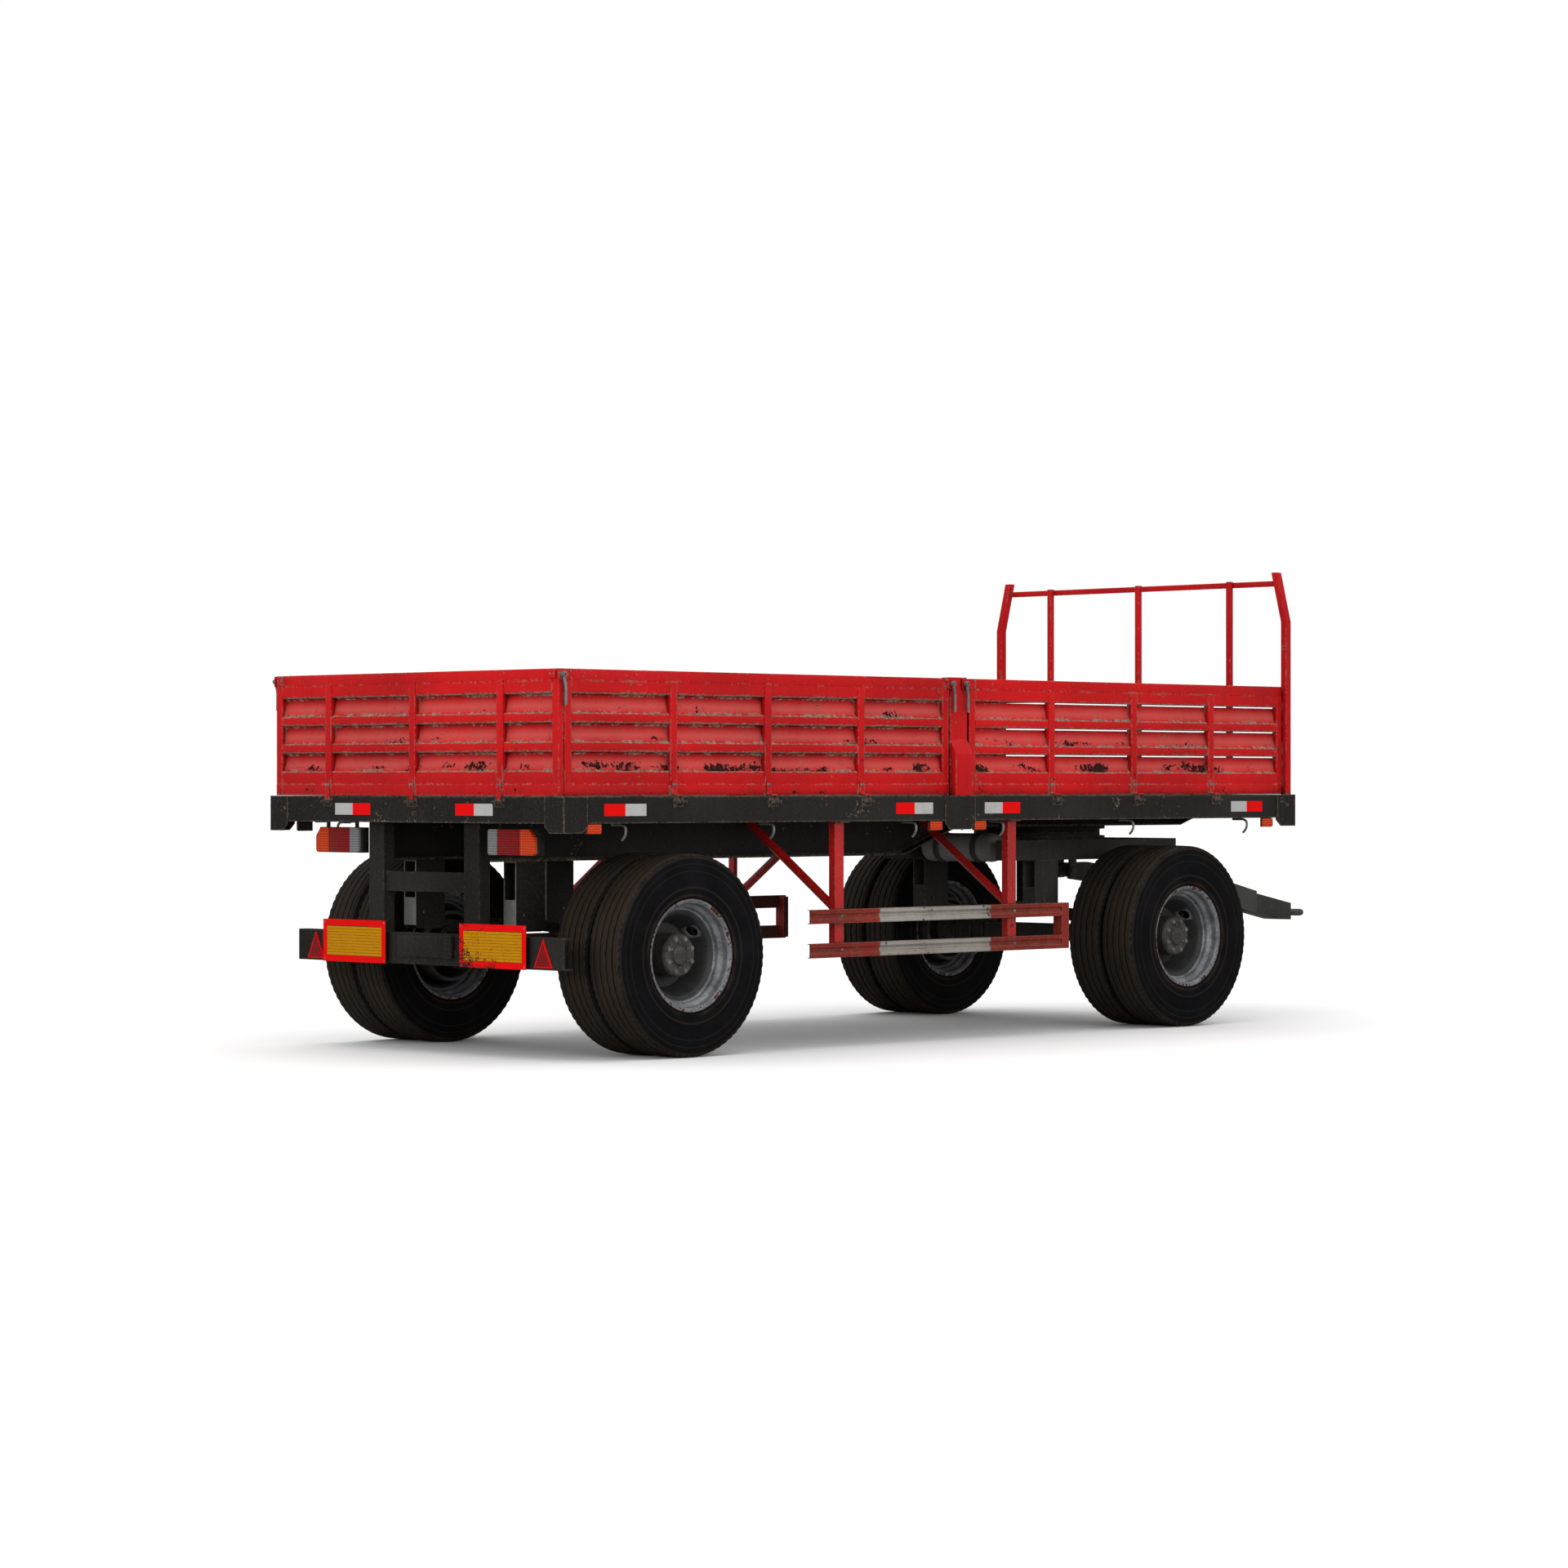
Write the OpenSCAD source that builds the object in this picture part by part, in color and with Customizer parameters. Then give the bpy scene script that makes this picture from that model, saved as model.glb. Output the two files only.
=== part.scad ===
// Drop-side flatbed drawbar trailer: twin-tyred rear axle, and a steered front dolly on a turntable.
// Millimetres. +X runs forward to the towing eye, +Y to the left, +Z up.
// The origin is on the ground, under the middle of the overall length.
// Inside the modules, x is counted from the rear face of the bed and on_trailer() shifts it.

/* [Bed] */
// Length of the load bed over its rails
bed_length = 6000; // [5950:10:6100]
// Width of the load bed over its rails
bed_width = 2400; // [2380:10:2440]
// Height of the deck above the ground
deck_z = 1377; // [1370:1:1390]
// Height of the side rails
rail_h = 141; // [130:1:150]
// Flange width of the side rails
rail_flange = 60; // [50:1:70]

/* [Drop sides] */
// Height of the top edge of the boards above the ground
board_top = 2034; // [2020:1:2060]
// Thickness of a board
board_t = 36; // [36:1:42]
// Distance of the boards' outer faces from the centre line
board_y = 1160; // [1150:1:1165]
// Face width of the end stiles
stile_w = 52; // [45:1:60]
// Face width of the uprights
upright_w = 50; // [40:1:60]
// Height of a recess in the profiled sheet
recess_h = 86; // [70:1:90]
// Spacing of the recesses
recess_pitch = 150; // [140:1:155]
// Depth of the recesses behind the ribs
recess_depth = 27; // [15:1:28]
// Height of the air slits in the front boards
slit_h = 11; // [6:1:14]

/* [Headboard] */
// Height of the headboard's end posts above the ground
headboard_top = 2735; // [2650:5:2800]
// Height at which the end posts lean inwards
post_bend_z = 2430; // [2300:5:2500]
// How far the top of an end post leans inwards
post_lean = 75; // [0:1:100]

/* [Wheels] */
// Radius of the tyres
tyre_r = 537.5; // [530:0.5:542]
// Half of a tyre's section width
tyre_half_w = 120; // [115:1:124]
// Radius of the rim flange
rim_r = 299; // [295:1:302]
// Middle plane of a twin pair, from the centre line
twin_y = 965.5; // [960:0.5:970]
// Distance of each tyre's middle from the twin plane
twin_offset = 127; // [125:1:135]
// Position of the rear axle, from the rear face of the bed
rear_axle_x = 904; // [880:1:920]
// Position of the front axle and of the turntable, from the rear face of the bed
front_axle_x = 4987.5; // [4960:0.5:5000]
// Radius of the wheel spindles
spindle_r = 40; // [35:1:42]

/* [Drawbar] */
// Radius of the towing eye's bore
eye_bore_r = 25; // [20:0.5:28]
// Outer radius of the towing eye
eye_r = 58; // [50:1:60]
// Position of the towing eye, from the rear face of the bed
eye_x = 7532; // [7500:1:7560]
// Height of the towing eye
eye_z = 600; // [590:1:610]
// Position of the drawbar's hinge, from the rear face of the bed
drawbar_hinge_x = 5690; // [5680:1:5695]
// Height of the drawbar's hinge
drawbar_hinge_z = 900; // [895:1:905]

/* [Hidden] */

$fn = 48;

// Colours
paint_red = [0.75, 0.11, 0.12];
chassis_black = [0.17, 0.17, 0.16];
bare_steel = [0.55, 0.55, 0.54];
tow_grey = [0.36, 0.36, 0.36];
rubber_black = [0.09, 0.09, 0.09];
deck_brown = [0.34, 0.29, 0.24];
amber = [0.95, 0.42, 0.12];
off_white = [0.85, 0.83, 0.78];

// Frame
steel_t = 6;
rail_bottom = deck_z - rail_h;
half_w = bed_width / 2;
deck_t = 15;
deck_gap = 4;
deck_half = board_y - board_t - deck_gap;
beam_y = 410;
beam_flange = 120;
beam_web = 10;
beam_flange_t = 12;
crossmember_h = 72;
crossmember_flange = 45;
beam_top = deck_z - deck_t - crossmember_h;
beam_rear = 152;
beam_front = bed_length - 70;
beam_deep_z = 1030;
beam_shallow_z = 1188;
beam_taper = [3310, 3760];
crossmember_pitch = 500;
crossmember_count = 11;
plate_bottom = 1186;
plate_chamfer = 36;
rear_post_x = 77;

// Boards: each runs from start to end along the bed
rear_board = [board_t + 3, 2940];
front_board = [3110, bed_length - 68];
rear_uprights = [810, 1510, 2230];
front_uprights = [3810, 4540, 5250];
gate_uprights = [-705, 0, 705];
board_bottom = deck_z + 2;
top_rail_h = 59;
bottom_rail_h = 62;
sheet_t = 4;
rib_face = 3;
rib_slope = 9;
first_recess = 1516;
recess_count = 3;
upright_proud = 4;
rivet_gap = 0.1;

// Hinges of the boards
hinge_z = 1345;
hinge_out = 17;
pin_r = 6;
pin_gap = 0.06;
knuckle_r = 11;
strap_half = 16;
strap_t = 6;
strap_top = 1462;
side_hinge = half_w + hinge_out - board_y;
bracket_half = 38;

// Mid posts and headboard
mid_post = [2950, 3090];
mid_post_depth = 65;
mid_post_top = 2040;
mid_post_step = [1610, 1690];
post_x = [5936, 5982];
post_y = [1148, 1190];
inner_post_w = 32;
inner_post_x = [5934, 5966];
inner_post_top = 2690;
slat_x = [5966, 5984];
slats = [[1379, 1580], [1640, 1725], [1800, 1870], [1965, 2030]];
headboard_rail = [2651, 2685];

// Latch levers
lever_z = 2004;
lever_length = 160;
lever_rod_r = 8.5;
bend_extra = 1;
lever_boss_r = 15;
lever_boss_w = 22;
lever_joggle = 14;
lever_face = 13;
latch_plate = [upright_proud, 12];
corner_lever_x = 14;
rear_post_lever_x = mid_post[0] + 2;
front_post_lever_x = 3060;

// Running gear
drum_r = 198;
rim_bore_r = 105;
disc_gap = 0.1;
hub_head_r = 116;
hub_face = 1108;
axle_half = 50;
axle_end = 700;
spindle_end = 1085;
leaf_count = 6;
leaf_t = 12;
leaf_w = 80;
leaf_radius = 2500;
leaf_step = 63;
leaf_short = 200;
spring_half = leaf_short + leaf_step * (leaf_count - 1);
spring_eye_r = 26;
spring_pin_r = 14;
spring_eye_z = 745;
spring_seat_z = 610;
hanger_t = 8;
hanger_gap = leaf_w / 2 + 2;
hanger_x = [-65, 140];

// Dolly
ring_r = 416;
ring_mid_r = 386;
ring_bore_r = 330;
ring_gap_z = 1149.7;
dolly_x = [4160, 5730];
dolly_top = 1107;
dolly_bottom = 986;
dolly_beam_y = 450;
dolly_beam_w = 80;
cross_rise = 20;
dolly_cross = [[4410, 4490], [4590, 4670], [5305, 5385], [5650, 5730]];
tank_x = 4320;
tank_z = 1060;
tank_r = 85;
tank_half = 295;

// Drawbar
drawbar_pin_r = 20;
drawbar_pin_gap = 0.08;
drawbar_hinge_y = 385;
arm_w = 60;
nose_rear_x = 6990;
nose_end_x = 7418;
nose_half_w = 62;
nose_lap = 5;
eye_h = 44;

// The rear-most point is the tailgate's hinge knuckles
mid_x = (eye_x + eye_r - hinge_out - knuckle_r) / 2;

// Shifts a shape from the bed's rear face to the origin
module on_trailer() translate([-mid_x, 0, 0]) children();

// The shape and its mirror image across the centre line
module both_sides() {
    children();
    mirror([0, 1, 0]) children();
}

// The left shape, or its mirror image on the right
module on_side(left) mirror([0, left ? 0 : 1, 0]) children();

// A box given by its limits along each axis
module block(x, y, z)
    translate([x[0], y[0], z[0]]) cube([x[1] - x[0], y[1] - y[0], z[1] - z[0]]);

// A side view outline, extruded across the trailer between two y values
module side_plate(y, points)
    translate([0, y[1], 0]) rotate([90, 0, 0]) linear_extrude(y[1] - y[0]) polygon(points);

// A rear view outline, extruded along the trailer between two x values
module cross_plate(x, points)
    translate([x[0], 0, 0]) rotate([90, 0, 90]) linear_extrude(x[1] - x[0]) polygon(points);

// A round bar between two points
module rod(a, b, r) {
    d = b - a;
    length = norm(d);
    translate(a) rotate([0, acos(d.z / length), atan2(d.y, d.x)]) cylinder(h = length, r = r);
}

// A bent round bar through several points, a little thicker at its bends
module bent_rod(points, r) {
    for (i = [1:len(points) - 1]) rod(points[i - 1], points[i], r);
    for (i = [1:len(points) - 2]) translate(points[i]) sphere(r + bend_extra);
}

// A cylinder along +Y from y[0] to y[1]
module cross_pin(x, y, z, r)
    translate([x, y[0], z]) rotate([-90, 0, 0]) cylinder(h = y[1] - y[0], r = r);

// ---- Bed frame

// Lower edge of a main beam, from the rear to the front
function beam_edge(lift) = [
    [beam_rear, beam_deep_z + lift], [beam_taper[0], beam_deep_z + lift],
    [beam_taper[1], beam_shallow_z + lift], [beam_front - 130, beam_shallow_z + lift],
    [beam_front, beam_shallow_z + 42 + lift]
];

function reversed(list) = [for (i = [len(list) - 1:-1:0]) list[i]];

module main_beams() color(chassis_black) on_trailer() both_sides() {
    side_plate([beam_y - beam_web / 2, beam_y + beam_web / 2],
        concat(beam_edge(0), [[beam_front, beam_top], [beam_rear, beam_top]]));
    side_plate([beam_y - beam_flange / 2, beam_y + beam_flange / 2],
        concat(beam_edge(0), reversed(beam_edge(beam_flange_t))));
    block([beam_rear, beam_front], [beam_y - beam_flange / 2, beam_y + beam_flange / 2],
        [beam_top - beam_flange_t, beam_top]);
}

// A channel outline, open towards +X or -X
function channel(x, z, flange, t, side) = [
    [x, z[0]], [x + side * flange, z[0]], [x + side * flange, z[0] + t], [x + side * t, z[0] + t],
    [x + side * t, z[1] - t], [x + side * flange, z[1] - t], [x + side * flange, z[1]], [x, z[1]]
];

module cross_rails() color(chassis_black) on_trailer() {
    inner = half_w - rail_flange;
    for (end = [0, 1])
        side_plate([-inner, inner],
            channel(end * bed_length, [rail_bottom, deck_z], rail_flange, steel_t, 1 - 2 * end));
    for (i = [1:crossmember_count])
        side_plate([steel_t - half_w, half_w - steel_t],
            channel(i * crossmember_pitch, [beam_top, beam_top + crossmember_h],
                crossmember_flange, steel_t, 1));
}

module side_rails() color(chassis_black) on_trailer() both_sides()
    cross_plate([0, bed_length],
        channel(half_w, [rail_bottom, deck_z], rail_flange, steel_t, -1));

// The deck stays clear of the posts and boards that stand around it
module deck() color(deck_brown) on_trailer() difference() {
    block([rail_flange, inner_post_x[0] - deck_gap], [-deck_half, deck_half],
        [deck_z - deck_t, deck_z]);
    both_sides()
        block([mid_post[0] - deck_gap, mid_post[1] + deck_gap],
            [board_y - mid_post_depth - deck_gap, deck_half + 1], [deck_z - deck_t - 1, deck_z + 1]);
}

// A plate outline with its lower corners cut off, from a to b
function cut_plate(a, b, cut_a, cut_b) = [
    [a, deck_z], [a, plate_bottom + cut_a], [a + cut_a, plate_bottom],
    [b - cut_b, plate_bottom], [b, plate_bottom + cut_b], [b, deck_z]
];

module corner_plates() color(chassis_black) on_trailer() both_sides() {
    side_y = [half_w, half_w + steel_t];
    side_plate(side_y, cut_plate(-steel_t, 162, 0, plate_chamfer));
    side_plate(side_y, cut_plate(bed_length - 168, bed_length + steel_t, plate_chamfer, 0));
    side_plate(side_y, cut_plate(2862, 3112, plate_chamfer, plate_chamfer));
    for (x = [[-steel_t, 0], [bed_length, bed_length + steel_t]])
        cross_plate(x, cut_plate(1056, half_w, plate_chamfer, 0));
}

// ---- Posts and headboard

module fixed_posts() color(paint_red) on_trailer() {
    both_sides() {
        mid_post_body();
        cross_plate(post_x, [
            [post_y[0], deck_z], [post_y[1], deck_z], [post_y[1], post_bend_z],
            [post_y[1] - post_lean, headboard_top], [post_y[0] - post_lean, headboard_top],
            [post_y[0], post_bend_z]
        ]);
        translate([0, 735, 0]) inner_post();
    }
    inner_post();
}

module inner_post()
    block(inner_post_x, [-inner_post_w / 2, inner_post_w / 2], [deck_z, inner_post_top]);

// Channel post, open towards the load, with a hollow stepped foot on its outer face
module mid_post_body() {
    foot_y = half_w + steel_t;
    foot_back = board_y + rivet_gap;
    inner_y = board_y - mid_post_depth;
    inside_x = [mid_post[0] + steel_t, mid_post[1] - steel_t];
    difference() {
        block(mid_post, [inner_y, board_y], [deck_z, mid_post_top]);
        block(inside_x, [inner_y - 1, board_y - steel_t], [deck_z + steel_t, mid_post_top - steel_t]);
    }
    difference() {
        cross_plate(mid_post, [
            [foot_back, deck_z], [foot_y, deck_z], [foot_y, mid_post_step[0]],
            [foot_back, mid_post_step[1]]
        ]);
        cross_plate(inside_x, [
            [foot_back - 1, deck_z + steel_t], [foot_y - steel_t, deck_z + steel_t],
            [foot_y - steel_t, mid_post_step[0] - steel_t], [foot_back - 1, mid_post_step[1] - 3 * steel_t]
        ]);
    }
}

module headboard_slats() color(paint_red) on_trailer() {
    for (z = slats) block(slat_x, [-post_y[0], post_y[0]], z);
    lean = post_lean * (headboard_rail[1] - post_bend_z) / (headboard_top - post_bend_z);
    block(slat_x, [lean - post_y[0], post_y[0] - lean], headboard_rail);
}

// ---- Boards: local x runs along the board, the outer face is y = 0 and faces -Y

// Outline of the profiled sheet as depth behind the face against height
function sheet_path(depth, shift) = concat(
    [[rib_face + depth, board_bottom + bottom_rail_h]],
    [for (i = [0:recess_count - 1], p = recess_corners(first_recess + i * recess_pitch, depth, shift)) p],
    [[rib_face + depth, board_top - top_rail_h]]
);

function recess_corners(z, depth, shift) = [
    [rib_face + depth, z - rib_slope - shift],
    [rib_face + recess_depth + depth, z - shift],
    [rib_face + recess_depth + depth, z + recess_h + shift],
    [rib_face + depth, z + recess_h + rib_slope + shift]
];

module board_bay(x, slits)
    difference() {
        cross_plate(x, concat(sheet_path(0, 0), reversed(sheet_path(sheet_t, 3))));
        if (slits)
            for (i = [0:recess_count - 1])
                translate([x[0] - 1, -1, first_recess + i * recess_pitch + recess_h])
                    cube([x[1] - x[0] + 2, board_t + 2, slit_h]);
    }

// Edges of the bays between the stiles and the uprights
function bay_edges(span, uprights) = concat(
    [span[0] + stile_w],
    [for (u = uprights, s = [-1, 1]) u + s * upright_w / 2],
    [span[1] - stile_w]
);

module board_sheet(span, uprights, slits) {
    edges = bay_edges(span, uprights);
    for (i = [0:2:len(edges) - 2]) board_bay([edges[i], edges[i + 1]], slits);
}

// reach is the distance of the hinge line outside the board's face
module board_frame(span, uprights, reach) {
    rail_x = [span[0], span[1]];
    block(rail_x, [0, board_t], [board_top - top_rail_h, board_top]);
    block(rail_x, [0, board_t], [board_bottom, board_bottom + bottom_rail_h]);
    for (x = [span[0], span[1] - stile_w])
        block([x, x + stile_w], [0, board_t], [board_bottom, board_top]);
    for (u = uprights) {
        block([u - upright_w / 2, u + upright_w / 2], [-upright_proud, board_t],
            [board_bottom, board_top - top_rail_h]);
        translate([u, 0, 0]) hinge_strap(reach);
    }
}

// Strap that steps over the rail's edge and ends in a bored knuckle
module hinge_strap(reach) {
    back = upright_proud + rivet_gap;
    face = back + strap_t;
    lip = board_bottom + 3;
    difference() {
        union() {
            block([-strap_half, strap_half], [-face, -back], [lip, strap_top]);
            block([-strap_half, strap_half], [3 - reach, -back], [lip, lip + strap_t]);
            block([-strap_half, strap_half], [3 - reach, 3 - reach + strap_t],
                [hinge_z, lip + strap_t]);
            translate([-strap_half, -reach, hinge_z]) rotate([0, 90, 0])
                cylinder(h = 2 * strap_half, r = knuckle_r);
            for (s = [-1, 1])
                cross_pin(9 * s, [-face - 3, -face], strap_top - 24, 6);
        }
        translate([-strap_half - 1, -reach, hinge_z]) rotate([0, 90, 0])
            cylinder(h = 2 * strap_half + 2, r = pin_r + pin_gap);
    }
}

// Fixed half of a hinge, centred on its pin, with the rail's face at y = hinge_out
module hinge_bracket() {
    block([-bracket_half, bracket_half], [knuckle_r + 1, hinge_out], [-25, 22]);
    translate([-bracket_half, 0, 0]) rotate([0, 90, 0]) cylinder(h = 2 * bracket_half, r = pin_r);
    for (x = [-bracket_half, strap_half + 1])
        translate([x, 0, 0]) {
            width = bracket_half - strap_half - 1;
            rotate([0, 90, 0]) cylinder(h = width, r = knuckle_r);
            block([0, width], [0, knuckle_r + 1], [-knuckle_r, 0]);
        }
}

module hinge_brackets() color(chassis_black) on_trailer() {
    for (x = concat(rear_uprights, front_uprights))
        both_sides() translate([x, -half_w - hinge_out, hinge_z]) hinge_bracket();
    for (y = gate_uprights)
        translate([-hinge_out, y, hinge_z]) rotate([0, 0, -90]) hinge_bracket();
}

// Latch plate with the pin that carries a lever, centred on the pin's x
module latch_bracket(x, from) {
    plate_end = x + (x < from ? -20 : 20);
    plate_x = [min(plate_end, from), max(plate_end, from)];
    block(plate_x, [-latch_plate[1], -latch_plate[0]], [board_top - top_rail_h, board_top - 2]);
    block([from - 20, from + 20], [-latch_plate[0], -rivet_gap],
        [board_top - top_rail_h, board_top - 2]);
    pin_end = -lever_face - lever_boss_w - 4;
    cross_pin(x, [pin_end, -latch_plate[1]], lever_z, pin_r);
    cross_pin(x, [pin_end, pin_end + 3.6], lever_z, pin_r + 5);
}

module lever_body(x) {
    rod_y = -lever_face - lever_boss_w / 2;
    difference() {
        cross_pin(x, [-lever_face - lever_boss_w, -lever_face], lever_z, lever_boss_r);
        cross_pin(x, [-lever_face - lever_boss_w - 1, -lever_face + 1], lever_z, pin_r + pin_gap);
    }
    bent_rod([
        [x, rod_y, lever_z - 10], [x + lever_joggle, rod_y, lever_z - 53],
        [x + lever_joggle, rod_y, lever_z - lever_length]
    ], lever_rod_r);
}

// Places a board's local shapes on the right side, or mirrored on the left
module at_side(left) on_trailer() on_side(!left) translate([0, -board_y, 0]) children();

// Places a board's local shapes across the rear
module at_rear() on_trailer() rotate([0, 0, -90]) children();

// Small plate that stiffens an upper corner of a board
module corner_gusset(x, side)
    translate([x, -rivet_gap, board_top - top_rail_h]) rotate([90, 0, 0]) linear_extrude(3)
        polygon([[0, 0], [side * 110, 0], [side * 52, -62], [0, -62]]);

module rear_board_frame(left) color(paint_red) at_side(left) {
    board_frame(rear_board, rear_uprights, side_hinge);
    latch_bracket(corner_lever_x, rear_board[0] + 22);
    latch_bracket(rear_post_lever_x, rear_board[1] - 22);
    corner_gusset(rear_board[1], -1);
}

module front_board_frame(left) color(paint_red) at_side(left) {
    board_frame(front_board, front_uprights, side_hinge);
    latch_bracket(front_post_lever_x, front_board[0] + 22);
    corner_gusset(front_board[0], 1);
}

module rear_board_sheet(left) color(paint_red) at_side(left)
    board_sheet(rear_board, rear_uprights, false);

module front_board_sheet(left) color(paint_red) at_side(left)
    board_sheet(front_board, front_uprights, true);

module tailgate_frame() color(paint_red) at_rear() {
    board_frame([-board_y, board_y], gate_uprights, hinge_out);
    for (s = [-1, 1])
        translate([s * (board_y - 40), 0, 0])
            block([-25, 25], [-latch_plate[1], -rivet_gap], [board_top - 50, board_top - 4]);
}

module tailgate_sheet() color(paint_red) at_rear()
    board_sheet([-board_y, board_y], gate_uprights, false);

module latch_lever(left, x) color(bare_steel) at_side(left) lever_body(x);

// ---- Lamps, tapes and small fittings

side_tapes = [280, 2468, 3195, 5391];
side_lamps = [165, 2748, 3112, 5698];
tape_size = [298, 1, 63];
tape_z = 1275;
lamp_size = [104, 20, 55];

module reflective_tapes() color(off_white) on_trailer() both_sides() {
    for (x = side_tapes) translate([x, half_w, tape_z]) cube(tape_size);
    translate([-tape_size.y, 350, tape_z]) cube([tape_size.y, tape_size.x, tape_size.z]);
}

module side_marker_lamps() color(amber) on_trailer() both_sides()
    for (x = side_lamps) translate([x, half_w - 23, rail_bottom - lamp_size.z]) cube(lamp_size);

hook_x = [450, 1535, 2650, 3373, 4510, 5566];
hook_r = 7;

module rope_hooks() color(chassis_black) on_trailer() both_sides()
    for (x = hook_x)
        translate([x, 0, rail_bottom - hook_r - bend_extra]) bent_rod([
            [0, 1070, 0], [0, 1150, 0], [0, 1171, -12], [0, 1180, -36], [0, 1174, -60],
            [0, 1152, -80]
        ], hook_r);

lamp_y = [530, 896];
lamp_z = [1068, 1206];
lamp_face = 62;

module tail_lamp_housings() color(chassis_black) on_trailer() both_sides() {
    block([lamp_face + 30, lamp_face + 78], lamp_y, lamp_z);
    for (y = [575, 820]) {
        block([lamp_face + 40, lamp_face + 46], [y, y + 30], [lamp_z[1], rail_bottom]);
        block([20, lamp_face + 46], [y, y + 30], [rail_bottom - 5, rail_bottom]);
    }
}

module tail_lamp_lenses() color([0.7, 0.1, 0.08]) on_trailer() both_sides()
    cross_plate([lamp_face, lamp_face + 30], [
        [lamp_y[0] + 8, lamp_z[0]], [lamp_y[1] - 10, lamp_z[0]], [lamp_y[1], lamp_z[0] + 12],
        [lamp_y[1], lamp_z[1] - 46], [lamp_y[1] - 40, lamp_z[1]], [lamp_y[0] + 8, lamp_z[1]],
        [lamp_y[0], lamp_z[1] - 8], [lamp_y[0], lamp_z[0] + 8]
    ]);

// ---- Rear underrun guard and marker plates

underrun_x = [100, 165];
underrun_z = [477, 645];
underrun_half = 1088;
underrun_t = 8;
underrun_post_y = [329, 453];
marker_y = [304, 833];
marker_z = [476, 706];
marker_x = [66, 70];

module underrun_posts() color(chassis_black) on_trailer() {
    both_sides() {
        block([rear_post_x, rear_post_x + 8], underrun_post_y, [underrun_z[1], beam_top]);
        for (y = [underrun_post_y[0], underrun_post_y[1] - 8])
            block([rear_post_x, beam_rear], [y, y + 8], [underrun_z[1], beam_top]);
    }
    block([rear_post_x + 20, beam_rear - 10], [-underrun_post_y[0], underrun_post_y[0]], [866, 972]);
}

module underrun_beam() color(chassis_black) on_trailer()
    side_plate([-underrun_half, underrun_half],
        channel(underrun_x[0], underrun_z, underrun_x[1] - underrun_x[0], underrun_t, 1));

module rear_plates() color(amber) on_trailer() {
    both_sides() {
        block(marker_x, marker_y, marker_z);
        for (y = [marker_y[0] + 60, marker_y[1] - 100], z = [520, 600])
            block([marker_x[1], underrun_x[0]], [y, y + 40], [z, z + 20]);
        cross_plate([underrun_x[0] - 8, underrun_x[0]], [[862, 488], [1004, 488], [933, 636]]);
    }
    block([underrun_x[0] - 12, underrun_x[0]], [-140, 235], [515, 630]);
    block([underrun_x[0] - 30, underrun_x[0]], [-230, -160], [512, 636]);
}

// ---- Side guards

guard_x = [1830, 3890];
guard_y = [1140, 1170];
guard_upper = [680, 757];
guard_lower = [494, 573];
guard_post_x = [2045, 3455];
guard_post_w = 70;

module side_guard_posts() color(paint_red) on_trailer() both_sides() {
    for (x = guard_post_x) {
        block([x, x + guard_post_w], [guard_y[0] - 6, guard_y[0]], [guard_lower[0], rail_bottom]);
        block([x, x + 6], [guard_y[0] - 46, guard_y[0]], [guard_lower[0], rail_bottom]);
        block([x, x + guard_post_w], [guard_y[0] - 46, guard_y[0] + 40],
            [rail_bottom - 6, rail_bottom]);
        rod([x + 35, 440, 1225], [x + 35, guard_y[0] - 14, 745], 24);
    }
    block([guard_x[1], guard_x[1] + 60], guard_y, [guard_lower[0], guard_upper[1]]);
    block([guard_x[1] + 2, guard_x[1] + 40], [guard_y[0] - 40, guard_y[0]],
        [guard_lower[0] + 8, guard_upper[1] - 8]);
}

// Outline of a ribbed channel, open towards the centre line
function guard_section(z) = [
    [guard_y[0], z[0]], [guard_y[1], z[0]], [guard_y[1], z[0] + 22], [guard_y[1] - 9, z[0] + 30],
    [guard_y[1] - 9, z[1] - 30], [guard_y[1], z[1] - 22], [guard_y[1], z[1]], [guard_y[0], z[1]],
    [guard_y[0], z[1] - 4], [guard_y[1] - 14, z[1] - 4], [guard_y[1] - 14, z[0] + 4],
    [guard_y[0], z[0] + 4]
];

module side_guard_rails() color(paint_red) on_trailer() both_sides()
    for (z = [guard_upper, guard_lower]) cross_plate(guard_x, guard_section(z));

// ---- Running gear

module axle(x) color(chassis_black) on_trailer() translate([x, 0, tyre_r]) {
    block([-axle_half, axle_half], [-axle_end, axle_end], [-axle_half, axle_half]);
    both_sides() {
        cross_pin(0, [axle_end, spindle_end], 0, spindle_r);
        cross_pin(0, [axle_end - 50, axle_end + 14], 0, 130);
    }
}

// Stacked leaves on a common centre, with a rolled eye at each end of the longest
module leaf_pack(y) {
    centre_z = spring_seat_z + leaf_radius;
    translate([0, y + leaf_w / 2, 0]) rotate([90, 0, 0]) linear_extrude(leaf_w) difference() {
        union() {
            for (k = [0:leaf_count - 1]) {
                half = leaf_short + k * leaf_step;
                intersection() {
                    translate([0, centre_z]) difference() {
                        circle(leaf_radius - k * leaf_t, $fn = 720);
                        circle(leaf_radius - (k + 1) * leaf_t, $fn = 720);
                    }
                    translate([-half, 0]) square([2 * half, centre_z]);
                }
            }
            for (s = [-1, 1]) translate([s * (spring_half - 4), spring_eye_z]) circle(spring_eye_r);
        }
        for (s = [-1, 1]) translate([s * (spring_half - 4), spring_eye_z]) circle(spring_pin_r);
    }
    translate([0, 0, tyre_r + axle_half])
        block([-65, 65], [y - 60, y + 60], [0, spring_seat_z - tyre_r - axle_half]);
}

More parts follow.
